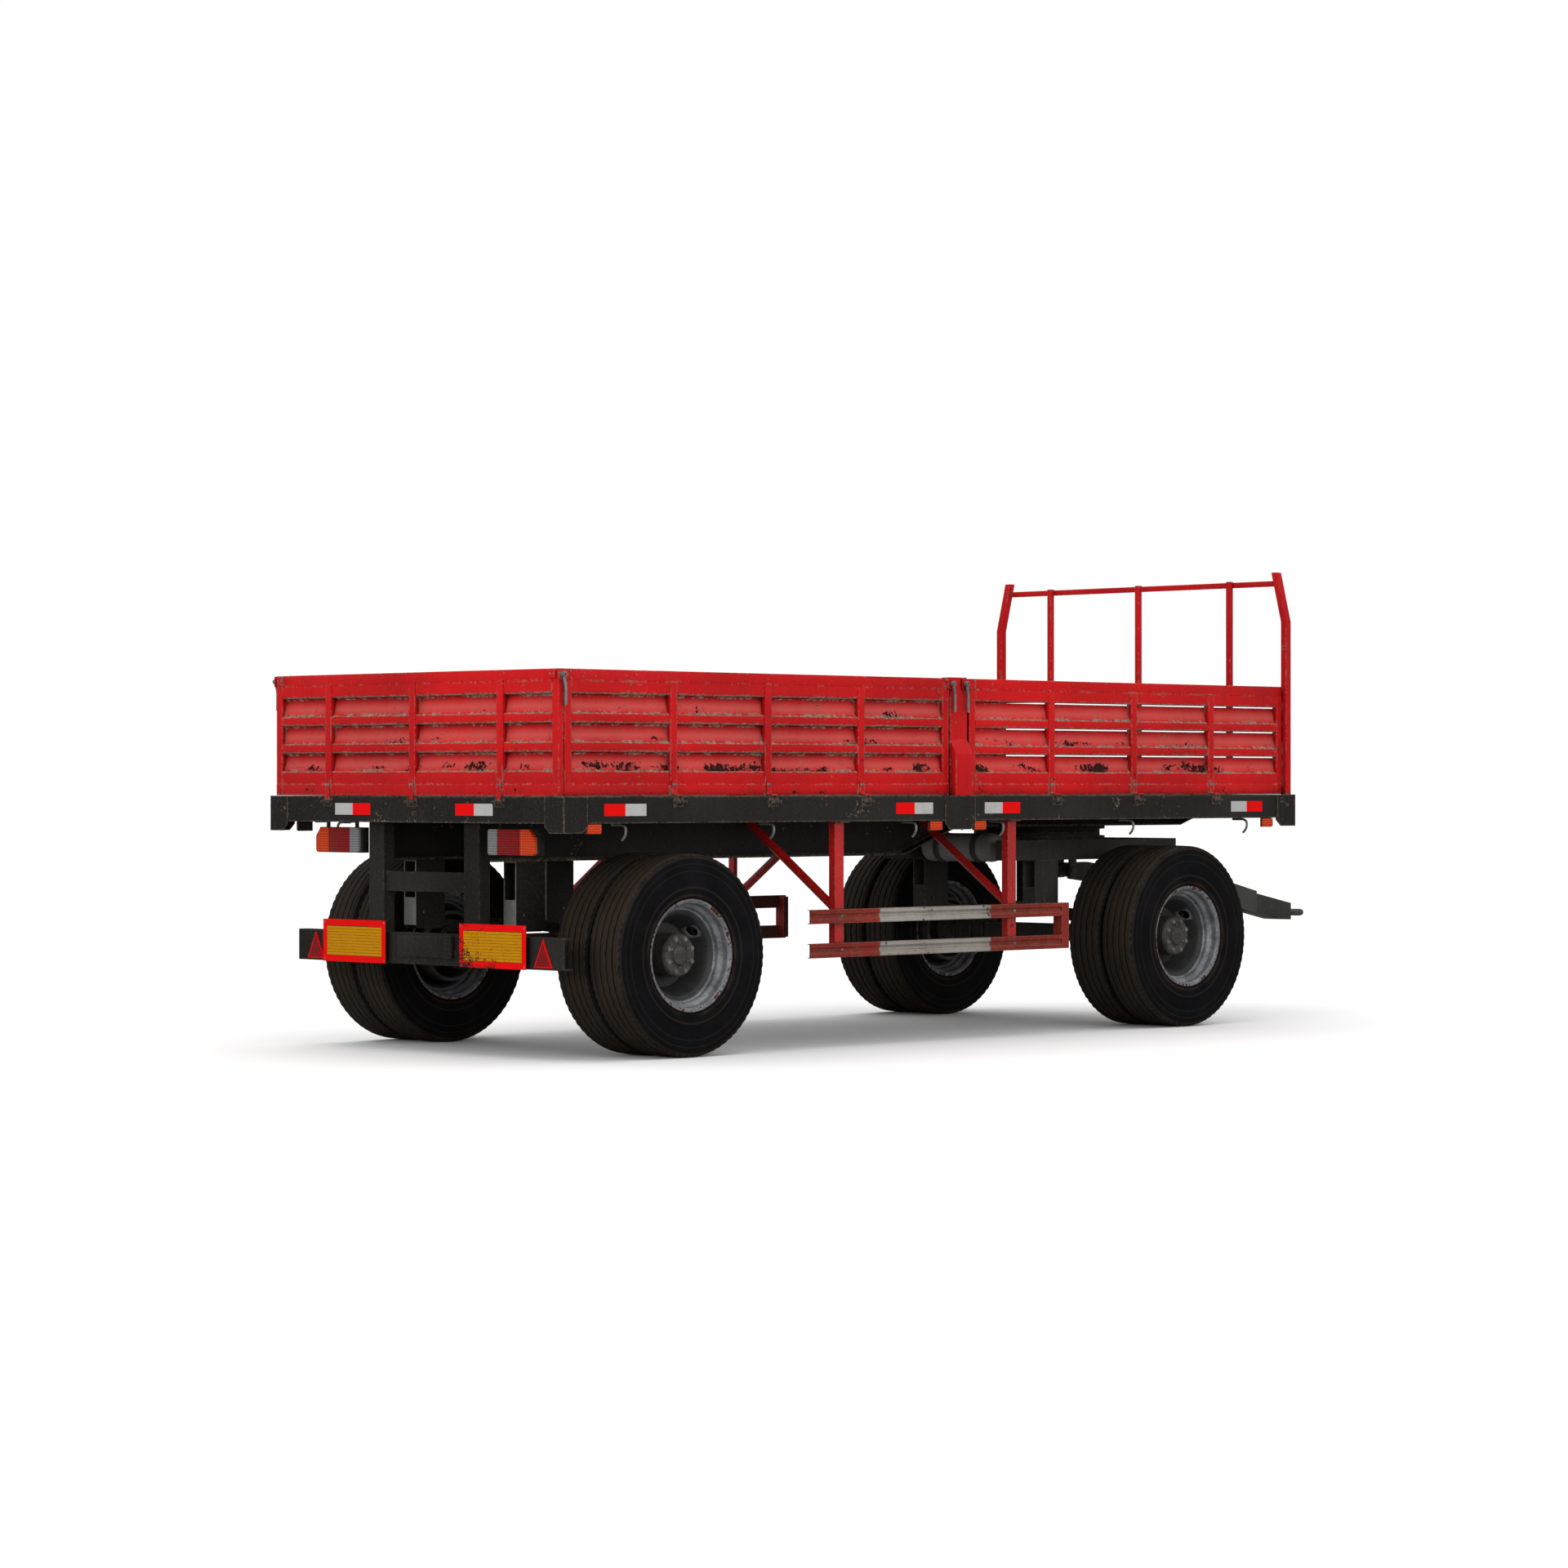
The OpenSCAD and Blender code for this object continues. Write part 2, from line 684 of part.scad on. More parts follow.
// Clamps that hold the pack down on the axle
module spring_clamp(y) {
    top = spring_seat_z + leaf_count * leaf_t + 3;
    for (x = [-60, 60]) {
        for (s = [-1, 1])
            rod([x, y + s * 50, tyre_r - axle_half - 12], [x, y + s * 50, top + 12], 8);
        block([x - 8, x + 8], [y - 58, y + 58], [top, top + 12]);
    }
    block([-70, 70], [y - 62, y + 62], [tyre_r - axle_half - 12, tyre_r - axle_half]);
}

module springs(x, y) color(chassis_black) on_trailer() both_sides() translate([x, 0, 0]) {
    leaf_pack(y);
    spring_clamp(y);
}

// Two cheek plates, a top plate and an end plate around the end of a spring, which enters from +X
module spring_hanger(top) {
    for (s = [0, 1]) mirror([0, s, 0])
        side_plate([hanger_gap, hanger_gap + hanger_t], [
            [hanger_x[0], top], [hanger_x[0], 676], [hanger_x[0] + 20, 656],
            [hanger_x[1] - 25, 656], [hanger_x[1], 681], [hanger_x[1], top]
        ]);
    block([hanger_x[0], hanger_x[0] + hanger_t], [-hanger_gap, hanger_gap], [676, 826]);
    block(hanger_x, [-hanger_gap, hanger_gap], [top - hanger_t, top]);
    cross_pin(0, [-hanger_gap - 16, hanger_gap + 16], spring_eye_z, spring_pin_r);
}

module hangers(x, y, top) both_sides() translate([x, y, 0])
    for (s = [0, 1]) mirror([s, 0, 0]) translate([4 - spring_half, 0, 0]) spring_hanger(top);

module rear_spring_hangers() color(chassis_black) on_trailer()
    hangers(rear_axle_x, beam_y, beam_deep_z);

// ---- Wheels: outlines give the radius against the distance from the centre line

// Revolves an outline around the axle at x
module wheel_turn(x) translate([x, 0, tyre_r]) rotate([-90, 0, 0]) rotate_extrude($fn = 96) children();

// An outline and its mirror image about the middle plane, as one closed outline
function whole(half) = concat(half, [for (p = reversed(half)) [p.x, -p.y]]);

tyre_skin = [
    [284, 98], [300, 98], [303, 109], [340, tyre_half_w - 1], [420, tyre_half_w],
    [495, tyre_half_w - 1], [522, tyre_half_w - 4], [532, tyre_half_w - 11],
    [tyre_r - 2.5, tyre_half_w - 22], [tyre_r, 60]
];
tyre_cavity = [[283, 84], [310, 92], [345, 101], [420, 104], [490, 101], [511, 88], [517, 66]];
tread_grooves = [-71, -29, 20, 62];

module tyre_section()
    difference() {
        polygon(whole(tyre_skin));
        polygon(whole(tyre_cavity));
        for (w = tread_grooves) translate([tyre_r - 13, w]) square([20, 9]);
    }

module tyre_pair(x, left) color(rubber_black) on_trailer() on_side(left) wheel_turn(x)
    for (s = [-1, 1]) translate([0, twin_y + s * twin_offset]) tyre_section();

// Barrel and dished disc of one rim; the discs meet back to back at the twin plane
module rim_section() {
    c = twin_offset;
    polygon([
        [rim_r, c + 108], [rim_r, c + 99], [284, c + 98], [284, c + 66], [262, c + 50],
        [262, c - 50], [284, c - 66], [284, c - 98], [rim_r, c - 99], [rim_r, c - 108],
        [290, c - 108], [275, c - 98], [275, c - 62], [253, c - 46], [253, c + 8],
        [236, c + 6], [182, disc_gap], [rim_bore_r, disc_gap], [rim_bore_r, 12], [174, 12],
        [226, c + 17], [253, c + 20], [253, c + 46], [275, c + 62], [275, c + 98],
        [290, c + 108]
    ]);
}

module rim_pair(x, left) color(bare_steel) on_trailer() on_side(left) difference() {
    for (s = [0, 1]) wheel_turn(x) translate([0, twin_y]) mirror([0, s]) rim_section();
    for (a = [142, 322])
        translate([x, 0, tyre_r]) rotate([0, a, 0])
            cross_pin(205, [twin_y - 140, twin_y + 140], 0, 33);
}

module hub(x, left) color(chassis_black) on_trailer() on_side(left) {
    rim_out = twin_y + 12;
    rim_in = twin_y - 12;
    wheel_turn(x) polygon([
        [spindle_r + pin_gap, 745], [rim_bore_r - 5, 745], [rim_bore_r - 5, rim_in - 20],
        [150, rim_in - 20], [drum_r - 20, rim_in - 100], [drum_r - 20, 730], [drum_r, 730],
        [drum_r, rim_in - 86], [170, rim_in], [rim_bore_r - 1, rim_in], [rim_bore_r - 1, rim_out],
        [hub_head_r, rim_out], [hub_head_r, hub_face - 10], [hub_head_r - 10, hub_face],
        [52, hub_face], [44, hub_face + 10], [34, hub_face + 15], [0, hub_face + 15],
        [0, spindle_end + 3], [spindle_r + pin_gap, spindle_end + 3]
    ]);
    for (a = [22.5:45:337.5])
        translate([x, 0, tyre_r]) rotate([0, a, 0]) translate([90, hub_face - 3, 0])
            rotate([-90, 0, 0]) cylinder(h = 16, r = 13, $fn = 6);
}

// ---- Turntable and dolly

module ring(z) {
    translate([front_axle_x, 0, z[0]]) difference() {
        cylinder(h = z[1] - z[0], r = z[2], $fn = 96);
        translate([0, 0, -1]) cylinder(h = z[1] - z[0] + 2, r = ring_bore_r, $fn = 96);
    }
}

module turntable_upper_ring() color(chassis_black) on_trailer() {
    ring([1168, beam_shallow_z, ring_r]);
    ring([ring_gap_z + 0.3, 1168, ring_mid_r]);
}

module turntable_lower_ring() color(chassis_black) on_trailer() {
    ring([dolly_top, dolly_top + 20, ring_r]);
    ring([dolly_top + 20, ring_gap_z, ring_mid_r]);
}

module dolly_beams() color(chassis_black) on_trailer() both_sides()
    block(dolly_x, [dolly_beam_y - dolly_beam_w / 2, dolly_beam_y + dolly_beam_w / 2],
        [dolly_bottom, dolly_top]);

module dolly_crossmembers() color(chassis_black) on_trailer() {
    inner = dolly_beam_y - dolly_beam_w / 2;
    for (x = dolly_cross) block(x, [-inner, inner], [dolly_bottom + cross_rise, dolly_top]);
    for (y = [-170, 130]) tank_strap([y, y + 40]);
}

// Band around the tank with a foot on the crossmember in front of it
module tank_strap(y) {
    difference() {
        union() {
            cross_pin(tank_x, y, tank_z, tank_r + 5);
            block([tank_x + tank_r - 20, dolly_cross[0][0]], y, [tank_z - 20, tank_z + 20]);
        }
        cross_pin(tank_x, [y[0] - 1, y[1] + 1], tank_z, tank_r);
    }
}

module air_tank() color(tow_grey) on_trailer() {
    cross_pin(tank_x, [-tank_half + 45, tank_half - 45], tank_z, tank_r);
    both_sides() translate([tank_x, tank_half - 45, tank_z]) rotate([-90, 0, 0])
        cylinder(h = 45, r1 = tank_r, r2 = 52);
}

module drawbar_ear(y, top)
    block([drawbar_hinge_x - 30, drawbar_hinge_x + 30], [y, y + 16], [drawbar_hinge_z - 50, top]);

module dolly_brackets() color(chassis_black) on_trailer() {
    hangers(front_axle_x, dolly_beam_y, dolly_bottom);
    both_sides() {
        drawbar_ear(drawbar_hinge_y - 70, dolly_bottom + cross_rise);
        drawbar_ear(drawbar_hinge_y + 34, dolly_bottom);
        cross_pin(drawbar_hinge_x, [drawbar_hinge_y - 76, drawbar_hinge_y + 58],
            drawbar_hinge_z, drawbar_pin_r);
    }
}

// ---- Drawbar

// Each arm runs from its hinge inwards to the nose
arm_start = [drawbar_hinge_x, drawbar_hinge_y];
arm_end = [nose_rear_x, 92];
arm_angle = atan2(arm_end.y - arm_start.y, arm_end.x - arm_start.x);
arm_length = norm(arm_end - arm_start);

// Distance of an arm's inner face from the centre line
function arm_inner(x) =
    arm_start.y + (x - arm_start.x) * tan(arm_angle) - arm_w / 2 / cos(arm_angle);

module drawbar_arms() color(tow_grey) on_trailer() both_sides() difference() {
    union() {
        translate([arm_start.x, arm_start.y, 0]) rotate([0, 0, arm_angle])
            side_plate([-arm_w / 2, arm_w / 2], [
                [36, 842], [60, 945], [160, 948], [arm_length - 12, 751], [arm_length - 12, 622],
                [150, 826]
            ]);
        cross_pin(drawbar_hinge_x, [drawbar_hinge_y - 30, drawbar_hinge_y + 30],
            drawbar_hinge_z, 46);
    }
    cross_pin(drawbar_hinge_x, [drawbar_hinge_y - 60, drawbar_hinge_y + 60], drawbar_hinge_z,
        drawbar_pin_r + drawbar_pin_gap);
    block([nose_rear_x - nose_lap, nose_end_x], [0, nose_half_w], [500, 800]);
}

module drawbar_nose() color(tow_grey) on_trailer() {
    side_plate([-nose_half_w, nose_half_w], [
        [nose_rear_x - nose_lap, 748], [nose_end_x, 664], [nose_end_x, 556],
        [nose_end_x - 130, 560], [nose_rear_x - nose_lap, 620]
    ]);
    tie_x = [drawbar_hinge_x + 230, drawbar_hinge_x + 300];
    translate([0, 0, 835]) linear_extrude(80) polygon([
        for (s = [-1, 1], x = s < 0 ? tie_x : reversed(tie_x)) [x, s * (arm_inner(x) - rivet_gap)]
    ]);
}

module towing_eye() color(tow_grey) on_trailer() difference() {
    union() {
        translate([nose_end_x, 0, eye_z]) rotate([0, 90, 0])
            cylinder(h = eye_x - nose_end_x - eye_bore_r - 5, r = 20);
        translate([eye_x, 0, eye_z]) rotate_extrude($fn = 96) {
            translate([0, -eye_h / 2]) square([eye_r - eye_h / 2, eye_h]);
            translate([eye_r - eye_h / 2, 0]) circle(eye_h / 2);
        }
    }
    translate([eye_x, 0, eye_z - eye_h]) cylinder(h = 2 * eye_h, r = eye_bore_r);
}

// ---- The sub-parts

main_beams();
cross_rails();
side_rails();
deck();
corner_plates();
fixed_posts();
headboard_slats();
hinge_brackets();
reflective_tapes();
side_marker_lamps();
rope_hooks();
tail_lamp_housings();
tail_lamp_lenses();
underrun_posts();
underrun_beam();
rear_plates();
side_guard_posts();
side_guard_rails();
axle(rear_axle_x);  // rear_axle
springs(rear_axle_x, beam_y);  // rear_springs
rear_spring_hangers();
turntable_upper_ring();
turntable_lower_ring();
dolly_beams();
dolly_crossmembers();
axle(front_axle_x);  // front_axle
springs(front_axle_x, dolly_beam_y);  // front_springs
dolly_brackets();
air_tank();
drawbar_arms();
drawbar_nose();
towing_eye();
tyre_pair(rear_axle_x, true);  // rear_left_tyres
rim_pair(rear_axle_x, true);  // rear_left_rims
hub(rear_axle_x, true);  // rear_left_hub
tyre_pair(rear_axle_x, false);  // rear_right_tyres
rim_pair(rear_axle_x, false);  // rear_right_rims
hub(rear_axle_x, false);  // rear_right_hub
tyre_pair(front_axle_x, true);  // front_left_tyres
rim_pair(front_axle_x, true);  // front_left_rims
hub(front_axle_x, true);  // front_left_hub
tyre_pair(front_axle_x, false);  // front_right_tyres
rim_pair(front_axle_x, false);  // front_right_rims
hub(front_axle_x, false);  // front_right_hub
tailgate_frame();
tailgate_sheet();
rear_board_frame(true);  // rear_left_board_frame
rear_board_sheet(true);  // rear_left_board_sheet
rear_board_frame(false);  // rear_right_board_frame
rear_board_sheet(false);  // rear_right_board_sheet
front_board_frame(true);  // front_left_board_frame
front_board_sheet(true);  // front_left_board_sheet
front_board_frame(false);  // front_right_board_frame
front_board_sheet(false);  // front_right_board_sheet
latch_lever(true, corner_lever_x);  // rear_left_corner_lever
latch_lever(false, corner_lever_x);  // rear_right_corner_lever
latch_lever(true, rear_post_lever_x);  // rear_left_post_lever
latch_lever(false, rear_post_lever_x);  // rear_right_post_lever
latch_lever(true, front_post_lever_x);  // front_left_post_lever
latch_lever(false, front_post_lever_x);  // front_right_post_lever
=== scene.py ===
"""Looks of the drop-side drawbar trailer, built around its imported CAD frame."""

import math

import bmesh
import bpy
from mathutils import Matrix, Vector, noise


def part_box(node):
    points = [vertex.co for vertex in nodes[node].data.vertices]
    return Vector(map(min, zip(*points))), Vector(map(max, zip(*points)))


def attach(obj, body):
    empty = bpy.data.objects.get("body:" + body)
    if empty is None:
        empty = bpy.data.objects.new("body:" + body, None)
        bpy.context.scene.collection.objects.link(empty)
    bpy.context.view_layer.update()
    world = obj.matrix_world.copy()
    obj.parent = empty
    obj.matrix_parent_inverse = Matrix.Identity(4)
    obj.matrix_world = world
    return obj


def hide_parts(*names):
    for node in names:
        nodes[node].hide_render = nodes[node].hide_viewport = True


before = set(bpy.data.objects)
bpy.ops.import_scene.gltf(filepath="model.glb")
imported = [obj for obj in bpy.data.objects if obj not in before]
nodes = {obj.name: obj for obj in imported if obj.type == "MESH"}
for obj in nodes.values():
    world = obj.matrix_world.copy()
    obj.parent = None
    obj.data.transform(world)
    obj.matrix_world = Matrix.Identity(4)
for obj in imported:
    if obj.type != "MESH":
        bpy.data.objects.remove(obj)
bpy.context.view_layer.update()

# ---- Places: shapes are drawn in millimetres, x counted from the rear face of the bed

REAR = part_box("side_rails")[0].x
BOARD_Y = -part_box("rear_right_board_sheet")[0].y * 1000 + 3


def trailer(x, y, z):
    return Vector((REAR + x / 1000, y / 1000, z / 1000))


def right_board(x, y, z):
    return trailer(x, y - BOARD_Y, z)


def left_board(x, y, z):
    return trailer(x, BOARD_Y - y, z)


def rear_board(x, y, z):
    return trailer(y, -x, z)


# ---- Materials


def srgb(r, g, b):
    def linear(v):
        v /= 255
        return v / 12.92 if v <= 0.04045 else ((v + 0.055) / 1.055) ** 2.4

    return (linear(r), linear(g), linear(b), 1.0)


class Finish:
    """A procedural material, put together from small patterns in the object's own coordinates."""

    def __init__(self, name, **shader):
        self.material = bpy.data.materials.new(name)
        self.material.use_nodes = True
        self.tree = self.material.node_tree
        self.tree.nodes.clear()
        self.shader = self.tree.nodes.new("ShaderNodeBsdfPrincipled")
        out = self.tree.nodes.new("ShaderNodeOutputMaterial")
        self.tree.links.new(self.shader.outputs[0], out.inputs[0])
        self.place = self.tree.nodes.new("ShaderNodeTexCoord").outputs["Object"]
        for key, value in shader.items():
            self.shader.inputs[key.replace("_", " ").title().replace("Ior", "IOR")].default_value = value

    def node(self, kind, inputs, **settings):
        n = self.tree.nodes.new("ShaderNode" + kind)
        for key, value in settings.items():
            setattr(n, key, value)
        for key, value in inputs.items():
            if isinstance(value, bpy.types.NodeSocket):
                self.tree.links.new(value, n.inputs[key])
            else:
                n.inputs[key].default_value = value
        return n

    def noise(self, scale, detail=4, rough=0.6, stretch=(1, 1, 1), shift=0.0):
        inputs = {"Vector": self.place, "Scale": stretch, "Location": (shift, shift, shift)}
        moved = self.node("Mapping", inputs).outputs[0]
        inputs = {"Vector": moved, "Scale": scale, "Detail": detail, "Roughness": rough}
        return self.node("TexNoise", inputs).outputs[0]

    def cells(self, scale, feature="F1", output=0):
        inputs = {"Vector": self.place, "Scale": scale}
        return self.node("TexVoronoi", inputs, feature=feature).outputs[output]

    def axis(self, letter):
        return self.node("SeparateXYZ", {0: self.place}).outputs[letter]

    def attribute(self, name):
        return self.node("Attribute", {}, attribute_name=name).outputs["Fac"]

    def math(self, operation, a, b=0.0, clamp=False):
        return self.node("Math", {0: a, 1: b}, operation=operation, use_clamp=clamp).outputs[0]

    def add(self, *terms):
        """Sum of (socket, weight) pairs."""
        total = None
        for socket, weight in terms:
            part = self.math("MULTIPLY", socket, weight)
            total = part if total is None else self.math("ADD", total, part)
        return total

    def step(self, value, low, high, top=1.0):
        """Goes smoothly from 0 to top as value goes from low to high."""
        inputs = {"Value": value, "From Min": low, "From Max": high, "To Max": top}
        return self.node("MapRange", inputs, interpolation_type="SMOOTHSTEP").outputs[0]

    def fade(self, value, low, high, at_low, at_high):
        """Goes evenly from at_low to at_high as value goes from low to high."""
        limits = {"From Min": low, "From Max": high, "To Min": at_low, "To Max": at_high}
        return self.node("MapRange", {"Value": value, **limits}).outputs[0]

    def mix(self, share, a, b):
        return self.node("Mix", {0: share, 6: a, 7: b}, data_type="RGBA").outputs[2]

    def edges(self, radius, samples=3):
        """1 on outer and inner edges of the shape, 0 on its flat faces."""
        soft = self.node("Bevel", {"Radius": radius}, samples=samples).outputs[0]
        plain = self.node("NewGeometry", {}).outputs["Normal"]
        dot = self.node("VectorMath", {0: soft, 1: plain}, operation="DOT_PRODUCT").outputs["Value"]
        return self.math("MULTIPLY", self.math("SUBTRACT", 1.0, dot), 5.0, clamp=True)

    def hollows(self, reach):
        """1 deep in inner corners, 0 on open faces."""
        open_share = self.node("AmbientOcclusion", {"Distance": reach}, samples=4).outputs["AO"]
        return self.math("SUBTRACT", 1.0, open_share, clamp=True)

    def facing_up(self):
        normal = self.node("NewGeometry", {}).outputs["Normal"]
        return self.node("SeparateXYZ", {0: normal}).outputs["Z"]

    def colour(self, socket):
        self.tree.links.new(socket, self.shader.inputs["Base Color"])

    def roughness(self, socket):
        self.tree.links.new(socket, self.shader.inputs["Roughness"])

    def metallic(self, socket):
        self.tree.links.new(socket, self.shader.inputs["Metallic"])

    def bump(self, *layers):
        """Height patterns as (socket, height in metres) pairs."""
        normal = None
        for socket, height in layers:
            inputs = {"Height": socket, "Distance": height, "Strength": 1.0}
            if normal is not None:
                inputs["Normal"] = normal
            normal = self.node("Bump", inputs).outputs[0]
        self.tree.links.new(normal, self.shader.inputs["Normal"])


def darker(colour, share):
    return tuple(c * share for c in colour[:3]) + (1.0,)


def worn_paint(name, base, deep, bare, rust, wear=0.5, rusting=0.5, dust=0.0, gloss=0.42,
               shine=0.12, haze_and_light=(0.35, 0.3, 0.28, 1.0)):
    """Old paint: fading in clouds, darkened by painted shade in its corners and hollows, paler low in
    the board recesses partly by painted light, chipped to primer along edges, rusting where water stays."""
    f = Finish(name, specular_ior_level=shine)
    cloud = f.noise(1.1, 3, 0.5)
    middle = f.noise(7, 5, 0.62, shift=3.1)
    fine = f.noise(46, 6, 0.7, shift=1.7)
    grain = f.noise(310, 3, 0.6)
    streak = f.noise(1.0, 4, 0.6, stretch=(26, 26, 1.6), shift=0.6)
    tint = f.mix(f.step(f.add((cloud, 0.7), (streak, 0.2), (fine, 0.2)), 0.38, 0.72), deep, base)
    tint = f.mix(f.step(grain, 0.5, 0.75, 0.4), tint, darker(deep, 0.5))
    tint = f.mix(f.step(f.noise(190, 2, 0.6), 0.55, 0.75, 0.16), tint, haze_and_light)
    # Partly painted light: the pale haze from the fourth layer brightens the upward-facing lower part of
    # each board recess, over some real fading and dust.
    faded_and_lit = f.add((f.attribute("faded_and_lit"), 0.8), (middle, 0.4), (fine, 0.3))
    tint = f.mix(f.step(faded_and_lit, 0.45, 1.25, 0.42), tint, haze_and_light)
    soil = f.step(f.add((middle, 0.6), (streak, 0.55)), 0.62, 0.92, 0.35)
    tint = f.mix(soil, tint, darker(deep, 0.35))
    # Painted shade: darkens hollows found by ambient occlusion and the top of each board recess, where
    # the third layer marks the shade under the rib.
    hollow_shade = f.add((f.hollows(0.07), 0.85), (f.attribute("shade_and_tread"), 0.6), (fine, 0.3), (middle, 0.25))
    tint = f.mix(f.step(hollow_shade, 0.4, 1.05, 0.85), tint, darker(rust, 0.3))
    # Painted shade: dark rust and primer tones in tight inner corners found by ambient occlusion.
    joint_shade = f.step(f.add((f.hollows(0.018), 1.0), (fine, 0.4)), 0.46, 0.66, 0.85)
    tint = f.mix(joint_shade, tint, f.mix(f.step(middle, 0.48, 0.58), darker(rust, 0.6), darker(bare, 0.6)))
    along = f.add((f.edges(0.014), 0.39), (f.attribute("wear"), 0.38), (middle, 0.75), (fine, 0.9))
    chipped = f.step(along, 1.36 - 0.25 * wear, 1.41 - 0.25 * wear)
    spots = f.step(f.add((fine, 0.7), (middle, 0.5)), 0.785 - 0.06 * wear, 0.81 - 0.06 * wear)
    chipped = f.math("MAXIMUM", chipped, spots)
    wet = f.add((f.attribute("grime_and_shade"), 0.3), (middle, 0.7), (fine, 1.1))
    rusted = f.step(wet, 1.27 - 0.2 * rusting, 1.31 - 0.2 * rusting)
    worn = f.mix(f.step(fine, 0.36, 0.62), darker(bare, 0.35), bare)
    tint = f.mix(chipped, tint, worn)
    rust_tint = f.mix(f.step(fine, 0.4, 0.65), rust, darker(rust, 0.4))
    tint = f.mix(rusted, tint, rust_tint)
    if dust:
        lying = f.step(f.add((f.facing_up(), 0.7), (middle, 0.6)), 0.5, 1.2, dust)
        tint = f.mix(lying, tint, srgb(118, 106, 92))
    f.colour(tint)
    bare_share = f.math("MAXIMUM", chipped, rusted)
    f.roughness(f.fade(f.add((bare_share, 0.8), (fine, 0.3)), 0.1, 1.0, gloss, 0.88))
    f.bump((grain, 0.00025), (f.math("SUBTRACT", 1.0, bare_share), 0.0006), (fine, 0.0008))
    return f.material


def bare_metal(name, base, deep, rust, rough=0.45, metal=0.75, rusting=0.4):
    """Zinc or bright steel with crystal patches and some rust, darkened by painted shade in its hollows,
    and near-black painted shade where the second layer is set, as on the wheel discs.
    """
    f = Finish(name)
    crystals = f.cells(60, "F1", output=1)
    crystal = f.node("SeparateColor", {0: crystals}).outputs[0]
    middle = f.noise(9, 5, 0.65)
    fine = f.noise(60, 6, 0.7, shift=2.3)
    grain = f.noise(420, 3, 0.6)
    tint = f.mix(f.step(f.add((middle, 0.7), (crystal, 0.1)), 0.2, 0.62), deep, base)
    wet = f.add((f.attribute("wear"), 0.35), (middle, 0.65), (fine, 0.55), (f.edges(0.008), 0.12))
    rusted = f.step(wet, 1.04 - 0.2 * rusting, 1.1 - 0.2 * rusting)
    tint = f.mix(rusted, tint, f.mix(f.step(fine, 0.45, 0.6), rust, darker(rust, 0.4)))
    # Painted shade: where the second layer is set, as on the wheel discs inside the rim, the metal turns
    # near-black and loses its shine.
    disc_shade = f.step(f.attribute("grime_and_shade"), 0.0, 1.0, 0.93)
    tint = f.mix(disc_shade, tint, srgb(26, 23, 20))
    # Painted shade: darkens hollows found by ambient occlusion.
    shade_and_tread = f.add((f.hollows(0.05), 1.0), (fine, 0.3))
    tint = f.mix(f.step(shade_and_tread, 0.4, 1.0, 0.7), tint, darker(rust, 0.12))
    f.colour(tint)
    f.metallic(f.fade(f.math("MAXIMUM", rusted, disc_shade), 0.0, 1.0, metal, 0.0))
    f.roughness(f.fade(f.add((rusted, 0.7), (fine, 0.4)), 0.1, 0.9, rough, 0.9))
    f.bump((grain, 0.0002), (fine, 0.0006), (rusted, 0.0005))
    return f.material


def rubber():
    """Black rubber: dusty brown tread with grooves along it, dark side walls with stained rings."""
    f = Finish("tyre_rubber", specular_ior_level=0.08)
    middle = f.noise(6, 5, 0.65)
    fine = f.noise(90, 5, 0.7)
    # On tyres the third layer marks the tread, not shade.
    tread = f.attribute("shade_and_tread")
    tint = f.mix(f.step(middle, 0.35, 0.7), srgb(9, 10, 12), srgb(18, 18, 21))
    dust = f.add((tread, 0.75), (middle, 0.5), (fine, 0.3))
    tint = f.mix(f.step(dust, 0.6, 1.25, 0.9), tint, srgb(64, 54, 45))
    line = f.math("SINE", f.math("MULTIPLY", f.axis("Y"), 640))
    groove = f.math("MULTIPLY", f.step(line, 0.1, 0.8), f.step(tread, 0.6, 0.9))
    tint = f.mix(f.math("MULTIPLY", groove, 0.5), tint, srgb(9, 8, 8))
    ring = f.step(f.attribute("wear"), 0.2, 1.0, 0.75)
    tint = f.mix(f.math("MULTIPLY", ring, f.step(middle, 0.3, 0.6)), tint, srgb(74, 52, 38))
    tint = f.mix(f.step(f.attribute("grime_and_shade"), 0.1, 1.0, 0.6), tint, srgb(50, 41, 33))
    f.colour(tint)
    f.roughness(f.fade(fine, 0.3, 0.7, 0.6, 0.84))
    f.bump((f.math("SUBTRACT", 1.0, groove), 0.002), (fine, 0.0008), (middle, 0.0012))
    return f.material


def lens(name, body, deep, across="YZ"):
    """Moulded lamp plastic with a grid along the two named axes and dust in its grooves."""
    f = Finish(name, coat_weight=0.1, coat_roughness=0.12, specular_ior_level=0.2)
    waves = []
    for letter in across:
        line = f.math("SINE", f.math("MULTIPLY", f.axis(letter), 480))
        waves.append(f.step(line, 0.45, 0.9))
    grid = f.math("MAXIMUM", *waves)
    middle = f.noise(30, 4, 0.6)
    fine = f.noise(220, 4, 0.6)
    tint = f.mix(f.math("MULTIPLY", grid, 0.75), body, deep)
    tint = f.mix(f.step(f.add((middle, 0.7), (fine, 0.5)), 0.6, 0.9, 0.4), tint, deep)
    f.colour(tint)
    f.roughness(f.fade(middle, 0.3, 0.7, 0.2, 0.42))
    f.bump((f.math("SUBTRACT", 1.0, grid), 0.0012), (fine, 0.0001))
    return f.material


